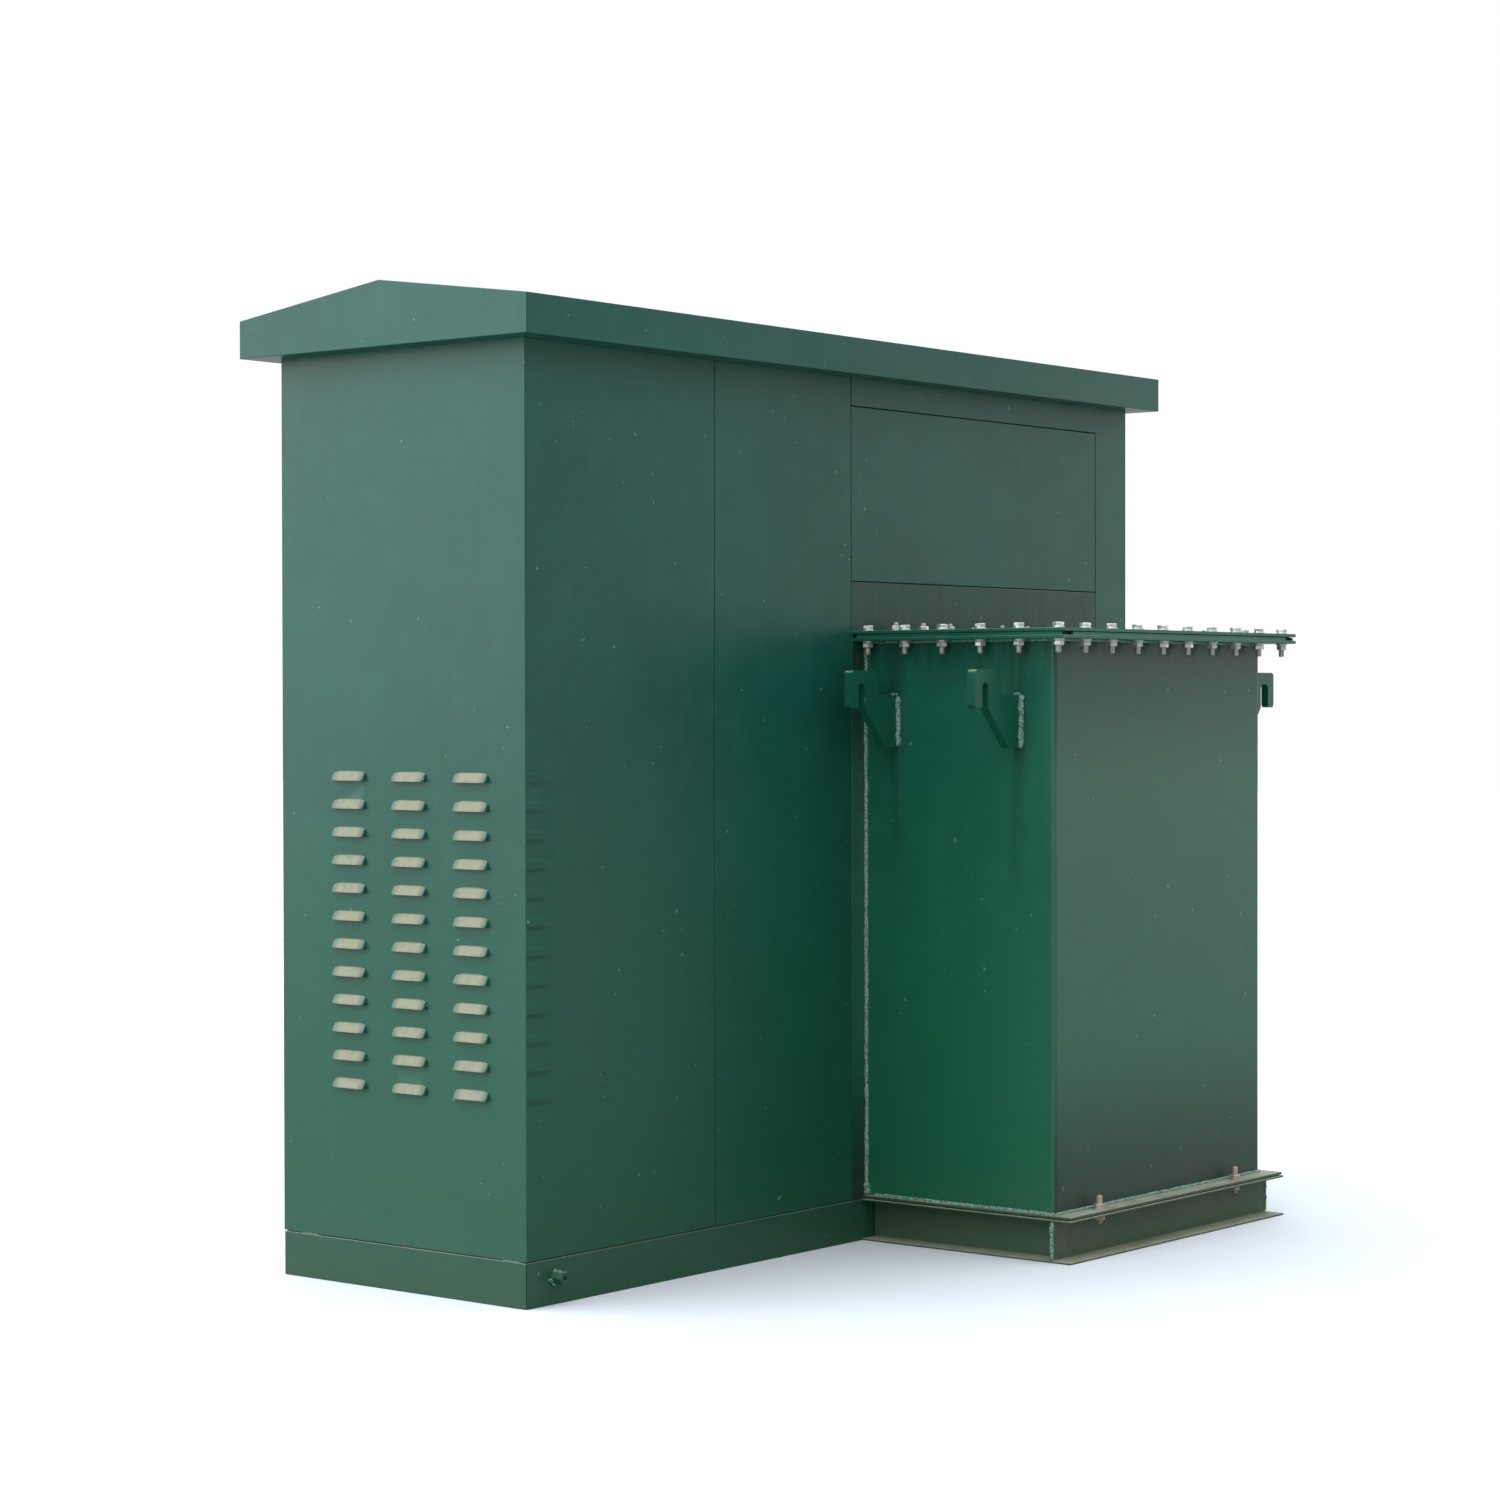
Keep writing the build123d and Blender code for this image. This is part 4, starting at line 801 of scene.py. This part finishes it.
def make_thermometer():
    """A dial in a turned case, with marks round three quarters of it."""
    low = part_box("thermometer")[0]
    x, z = middle_of("thermometer").x, middle_of("thermometer").z
    case = [turned((x, low.y + 0.005, z), [
        (0.033, 0), (0.0342, -0.0005), (0.0345, -0.0045), (0.0355, -0.005), (0.0372, -0.005),
        (0.038, -0.0038), (0.038, -0.0005), (0.0368, 0.001), (0.0368, 0.033), (0.0375, 0.034),
        (0.038, 0.035), (0.030, 0.0352), (0.016, 0.0353), (0.0155, 0.052)], "Y", 44)]
    case.append(turned((x, low.y + 0.05, z), [(0.0145, 0), (0.0145, 0.012), (0.013, 0.0125)], "Y", 6))
    case.append(turned((x, low.y + 0.05, z), [(0.0115, 0), (0.0115, 0.065), (0.0095, 0.071)], "Y", 24))
    fit(join("thermometer_case", case), gauge_steel, stands_for=("thermometer",))
    face = turned((x, low.y + 0.00495, z), [(0.0335, 0), (0.0335, 0.0004), (0.033, 0.0005)], "-Y", 44)
    fit(join("thermometer_dial", [face]), dial_white)
    marks = []
    for i in range(25):
        turn = math.radians(-135 + i * 270 / 24)
        long_mark = i % 4 == 0
        inner = 0.024 if long_mark else 0.0265
        half = 0.0006 if long_mark else 0.00035
        mark = slab((-half, 0, inner), (half, 0.0003, 0.0305), 0.00012, 0.002, 1)
        mark.data.transform(Matrix.Translation((x, low.y + 0.0042, z)) @ Matrix.Rotation(turn, 4, "Y"))
        marks.append(mark)
    fit(join("thermometer_marks", marks), dial_black)


def make_oil_gauge():
    """A sight glass in a cast frame, held by two screws."""
    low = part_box("oil_level_gauge")[0]
    x, z = middle_of("oil_level_gauge").x, middle_of("oil_level_gauge").z
    glass = slab((x - 0.0055, low.y - 0.0004, z - 0.045), (x + 0.0055, low.y + 0.003, z + 0.045),
                 0.0012, 0.002, 3)
    fit(join("oil_sight_glass", [glass]), sight_glass)
    frame_ring = []
    for dx0, dx1, dz0, dz1 in ((-0.0085, -0.0055, -0.049, 0.049), (0.0055, 0.0085, -0.049, 0.049),
                               (-0.0085, 0.0085, 0.045, 0.049), (-0.0085, 0.0085, -0.049, -0.045)):
        frame_ring.append(slab((x + dx0, low.y - 0.0016, z + dz0), (x + dx1, low.y + 0.001, z + dz1), 0.0005,
                               0.002))
    frame_ring += screws([(x, low.y, z - 0.059), (x, low.y, z + 0.059)], 0.008, 0.004, 0.001)
    fit(join("oil_gauge_frame", frame_ring), gauge_steel)


def make_glands_and_valves():
    """Gland nuts behind the switch handle and the tap knob, and the hexagons of the two valves."""
    glands = []
    for node, radius in (("load_switch_handle", 0.019), ("tap_changer_knob", 0.019)):
        spot = middle_of(node)
        glands.append(turned((spot.x, plate_front, spot.z), [
            (radius, 0), (radius, 0.0035), (radius * 0.98, 0.004), (radius * 0.74, 0.0042),
            (radius * 0.74, 0.012), (radius * 0.7, 0.0125)], "-Y", 6))
        glands.append(turned((spot.x, plate_front, spot.z), [
            (0.025, 0), (0.025, 0.0025), (0.024, 0.003)], "-Y", 32))
    fit(join("shaft_glands", glands), brass)
    x, z = middle_of("relief_valve").x, middle_of("relief_valve").z
    body = [turned((x, plate_front, z), [(0.018, 0), (0.018, 0.008), (0.0175, 0.0086)], "-Y", 6),
            turned((x, plate_front, z), [(0.0152, 0.0), (0.0152, 0.0205), (0.0146, 0.0235), (0.0118, 0.0242),
                                         (0.0118, 0.0325), (0.0105, 0.034)], "-Y", 30)]
    fit(join("relief_valve_body", body), brass)
    x, z = middle_of("drain_valve").x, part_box("drain_valve")[0].z + 0.04
    stem_y = plate_front - 0.045
    valve = [turned((x, plate_front, z), [(0.0205, 0), (0.0205, 0.006), (0.0198, 0.0066)], "-Y", 6),
             turned((x, stem_y, z), [(0.0172, -0.014), (0.0188, -0.011), (0.0188, 0.009), (0.0172, 0.012)],
                    "Z", 8),
             turned((x, stem_y, z), [(0.0158, -0.0408), (0.0172, -0.0395), (0.0172, -0.0285),
                                     (0.0158, -0.027)], "Z", 6),
             turned((x, stem_y, z), [(0.0132, 0.016), (0.0138, 0.0175), (0.0138, 0.026), (0.0128, 0.0275)],
                    "Z", 6)]
    fit(join("drain_valve_hexagons", valve), brass)


def make_fuse_caps():
    """Ribbed caps on the bayonet fuse holders, each moving with its holder."""
    for phase in "abc":
        node = f"fuse_holder_{phase}"
        x, z = middle_of(node).x, middle_of(node).z
        cap_front = plate_front - 0.067
        ribs = []
        for spot_x, spot_y, spot_z in around(x, cap_front, z, 0.029, 20):
            ribs.append(turned((spot_x, spot_y + 0.0205, spot_z), [
                (0.0012, 0), (0.0016, 0.001), (0.0016, 0.0185), (0.0012, 0.0195)], "-Y", 8))
        ribs.append(turned((x, cap_front, z), [(0.0215, -0.001), (0.0215, 0.0012), (0.0205, 0.0018)],
                           "-Y", 36))
        fit(join(node + "_ribs", ribs), black_case, body_of[node])


# ---------------------------------------------------------------- switchgear room
def make_main_breaker_details():
    """Terminal covers, a toggle surround, ribs and screws on the main breaker."""
    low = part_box("main_breaker")[0]
    front = low.y
    body_low, body_high = low.z + 0.03, low.z + 0.33
    x_mid = middle_of("main_toggle").x
    z_mid = middle_of("main_toggle").z
    parts, metal = [], []
    for z0, z1 in ((body_low + 0.005, body_low + 0.056), (body_high - 0.056, body_high - 0.005)):
        parts.append(slab((x_mid - 0.164, front - 0.0025, z0), (x_mid + 0.164, front + 0.004, z1), 0.0012,
                          0.004))
        for x in (x_mid - 0.05, x_mid + 0.05):
            parts.append(slab((x - 0.0025, front - 0.0045, z0 + 0.003), (x + 0.0025, front, z1 - 0.003),
                              0.0006, 0.002))
        metal += screws([(x_mid + dx, front - 0.0025, (z0 + z1) / 2) for dx in (-0.14, -0.1, 0, 0.1, 0.14)],
                        0.009, 0.0045, 0.001)
    for x0, x1, z0, z1 in ((-0.025, -0.0145, -0.068, 0.068), (0.0145, 0.025, -0.068, 0.068),
                           (-0.0145, 0.0145, 0.061, 0.068), (-0.0145, 0.0145, -0.068, -0.061)):
        parts.append(slab((x_mid + x0, front - 0.003, z_mid + z0), (x_mid + x1, front + 0.002, z_mid + z1),
                          0.0008, 0.003))
    for i in range(7):
        z = z_mid - 0.05 + i * 0.0165
        for x0 in (x_mid - 0.148, x_mid + 0.09):
            parts.append(slab((x0, front - 0.0016, z), (x0 + 0.058, front + 0.001, z + 0.005), 0.0007, 0.003))
    return parts, metal


def make_feeder_breaker_details():
    """Terminal covers, toggle surrounds and screws on the three feeder breakers."""
    low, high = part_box("feeder_breakers")
    front = low.y
    parts, metal = [], []
    for number in (1, 2, 3):
        x = middle_of(f"feeder_toggle_{number}").x
        for z0, z1 in ((low.z + 0.0035, low.z + 0.03), (high.z - 0.03, high.z - 0.0035)):
            parts.append(slab((x - 0.049, front - 0.0016, z0), (x + 0.049, front + 0.002, z1), 0.0009, 0.003))
            metal += screws([(x + dx, front - 0.0016, (z0 + z1) / 2) for dx in (-0.034, 0, 0.034)], 0.0075,
                            0.0035, 0.0008)
        z = (low.z + high.z) / 2
        for x0, x1, z0, z1 in ((-0.0185, -0.0145, -0.0405, 0.0405), (0.0145, 0.0185, -0.0405, 0.0405),
                               (-0.0145, 0.0145, 0.0367, 0.0405), (-0.0145, 0.0145, -0.0405, -0.0367)):
            parts.append(slab((x + x0, front - 0.0018, z + z0), (x + x1, front + 0.001, z + z1), 0.0005,
                              0.002))
    return parts, metal


def make_switchgear_details():
    """What is screwed to the breakers, the mounting panel and the bars."""
    main_parts, metal = make_main_breaker_details()
    feeder_parts, feeder_metal = make_feeder_breaker_details()
    fit(join("breaker_covers", main_parts + feeder_parts), black_case)
    metal += feeder_metal
    panel_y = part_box("breaker_panel")[0].y
    metal += screws([(x, panel_y, z) for x in (0.165, 0.765) for z in (0.2, 0.54, 0.88)], 0.013)
    metal += screws([(x, panel_y, z) for x in (0.2, 0.725) for z in (0.26, 0.82)], 0.016)
    poles = (0.34, 0.44, 0.54)
    for x in poles:
        metal += screws([(x + dx, plate_front - 0.148, 0.8145 + dz) for dx in (-0.01, 0.01)
                         for dz in (0.0, 0.018)], 0.011)
    for x in poles:
        metal += screws([(x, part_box("busbars")[0].y, 0.456)], 0.012)
    fit(join("breaker_screws", metal), zinc_plate)


def make_bar_supports():
    """Ribbed insulators that hold the bars off the mounting panel."""
    panel_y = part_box("breaker_panel")[0].y
    waist, rib = 0.0085, 0.0105
    profile = [(0.0095, 0), (rib, 0.003), (rib, 0.016)]
    for along in (0.019, 0.041):
        profile += [(waist, along), (rib, along + 0.003), (rib, along + 0.019)]
    profile += [(waist, 0.063), (0.0095, 0.066), (0.0095, 0.0878)]
    stands = [turned((x, panel_y, z), profile, "-Y", 24) for x in (0.62, 0.245) for z in (0.408, 0.452)]
    fit(join("bar_supports", stands), bushing_epoxy)


# ---------------------------------------------------------------- seam strips
def make_seam_strips():
    """Strips spot-welded behind the seams of the rear wall, so that no daylight shows."""
    outer_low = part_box("rear_panel_outer")[0]
    hatch_low, hatch_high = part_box("rear_hatch")
    deep = rear_y - 0.0158
    strips = []
    for x, z0, z1 in ((outer_low.x - 0.001, outer_low.z + 0.02, 1.6), (hatch_high.x + 0.001, 1.29, 1.6),
                      (hatch_low.x - 0.001, 1.29, 1.6)):
        strips.append(slab((x - 0.012, deep - 0.0015, z0), (x + 0.012, deep, z1), 0.0005, 0.004))
    for z in (hatch_low.z - 0.001, hatch_high.z + 0.0005):
        strips.append(slab((hatch_low.x + 0.02, deep - 0.0015, z - 0.012),
                           (hatch_high.x - 0.02, deep, z + 0.012), 0.0005, 0.004))
    fit(join("seam_strips", strips), inside_green)


# ---------------------------------------------------------------- doors
def make_door_details():
    """A hat-section stiffener with a row of round heads down each flange, and a rubber seal, for each door
    leaf.
    """
    knuckle_out = 0.0095
    for name, hinged_low in (("hv_door", True), ("lv_door", False), ("room_door_left", True),
                             ("room_door_right", False)):
        low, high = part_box(name)
        body = body_of[name]
        skin = front_y + 0.0025
        x0 = low.x + (knuckle_out if hinged_low else 0)
        x1 = high.x - (0 if hinged_low else knuckle_out)
        mid = (x0 + x1) / 2
        foot, top = low.z + 0.047, high.z - 0.047
        hat = [slab((mid - 0.03, skin, foot), (mid - 0.014, skin + 0.002, top), 0.0006, 0.005),
               slab((mid + 0.014, skin, foot), (mid + 0.03, skin + 0.002, top), 0.0006, 0.005),
               slab((mid - 0.016, skin, foot), (mid + 0.016, skin + 0.014, top), 0.0022, 0.005)]
        for z in [foot + 0.04 + i * 0.15 for i in range(10)]:
            for x in (mid - 0.0235, mid + 0.0235):
                hat.append(turned((x, skin + 0.0015, z), [(0.0035, 0), (0.0035, 0.0006), (0.002, 0.0012)],
                                  "Y", 14))
        fit(join(name + "_stiffener", hat), inside_green, body)
        edge, wide, deep = 0.0065, 0.009, 0.004
        z0, z1 = low.z + edge, high.z - edge
        strip = []
        for box_low, box_high in (((x0 + edge, skin, z0), (x0 + edge + wide, skin + deep, z1)),
                                  ((x1 - edge - wide, skin, z0), (x1 - edge, skin + deep, z1)),
                                  ((x0 + edge + wide, skin, z0), (x1 - edge - wide, skin + deep, z0 + wide)),
                                  ((x0 + edge + wide, skin, z1 - wide), (x1 - edge - wide, skin + deep, z1))):
            strip.append(slab(box_low, box_high, 0.0016, 0.002, 3))
        fit(join(name + "_seal", strip), seal_rubber, body)


fit(join("fitting_screws", make_hv_bushings() + make_lv_bushings()), zinc_plate)
make_thermometer()
make_oil_gauge()
make_glands_and_valves()
make_fuse_caps()
make_switchgear_details()
make_bar_supports()
make_seam_strips()
make_door_details()

place_camera()


# ---------------------------------------------------------------- floor and light
def lay_floor():
    lay_down()
    bpy.ops.mesh.primitive_grid_add(x_subdivisions=24, y_subdivisions=24, size=60, location=(0, 0, 0))
    floor = bpy.context.object
    floor.name = "floor"
    pale = Finish("pale_floor")
    cloudy = pale.window(pale.grain(0.8, 4, 0.6), 0.3, 0.7)
    colour = pale.over(cloudy, (0.8, 0.8, 0.79, 1), (0.86, 0.86, 0.85, 1))
    # Only its light on the object is held back, as by a darker yard.
    seen = pale.node("LightPath").outputs["Is Camera Ray"]
    colour = pale.over(seen, (0.34, 0.33, 0.31, 1), colour)
    floor.data.materials.append(pale.done(colour, 0.85, pale.grain(30, 3, 0.6), 0.0006))


def light_studio():
    world = bpy.data.worlds.new("studio")
    bpy.context.scene.world = world
    world.use_nodes = True
    tree = world.node_tree
    back = tree.nodes["Background"]
    way = tree.nodes.new("ShaderNodeTexCoord").outputs["Generated"]

    def lobe(direction, low, high, amount):
        dot = tree.nodes.new("ShaderNodeVectorMath")
        dot.operation = "DOT_PRODUCT"
        tree.links.new(way, dot.inputs[0])
        dot.inputs[1].default_value = Vector(direction).normalized()
        spread = tree.nodes.new("ShaderNodeMapRange")
        spread.interpolation_type = "SMOOTHSTEP"
        for socket, value in zip(("From Min", "From Max", "To Min", "To Max"), (low, high, 0, amount)):
            spread.inputs[socket].default_value = value
        tree.links.new(dot.outputs["Value"], spread.inputs["Value"])
        return spread.outputs[0]

    lobes = [lobe((0.75, -0.6, 0.22), 0.2, 0.95, 1.75), lobe((-0.985, 0.17, 0.0), 0.87, 0.97, 1.1),
             lobe((0, 0, 1), 0.2, 0.95, 1.5), lobe((-0.3, -1, 0.3), 0.2, 0.9, 0.6)]
    total = lobes[0]
    for more in lobes[1:]:
        add = tree.nodes.new("ShaderNodeMath")
        add.operation = "ADD"
        tree.links.new(total, add.inputs[0])
        tree.links.new(more, add.inputs[1])
        total = add.outputs[0]
    level = tree.nodes.new("ShaderNodeMath")
    level.operation = "ADD"
    tree.links.new(total, level.inputs[0])
    level.inputs[1].default_value = 0.32
    tree.links.new(level.outputs[0], back.inputs["Strength"])
    # Cool light from above, warmer from near the ground.
    height = lobe((0, 0, 1), -0.05, 0.3, 1.0)
    tint = tree.nodes.new("ShaderNodeMix")
    tint.data_type = "RGBA"
    tree.links.new(height, tint.inputs[0])
    tint.inputs[6].default_value = (1.0, 0.95, 0.88, 1)
    tint.inputs[7].default_value = (0.88, 0.96, 1.06, 1)
    tree.links.new(tint.outputs[2], back.inputs["Color"])
    # The backdrop itself is plain white.
    plain = tree.nodes.new("ShaderNodeBackground")
    plain.inputs["Color"].default_value = (1, 1, 1, 1)
    plain.inputs["Strength"].default_value = 1.0
    seen = tree.nodes.new("ShaderNodeLightPath")
    either = tree.nodes.new("ShaderNodeMixShader")
    tree.links.new(seen.outputs["Is Camera Ray"], either.inputs[0])
    tree.links.new(back.outputs[0], either.inputs[1])
    tree.links.new(plain.outputs[0], either.inputs[2])
    tree.links.new(either.outputs[0], tree.nodes["World Output"].inputs["Surface"])


lay_floor()
light_studio()
bpy.context.scene.view_settings.view_transform = "Standard"
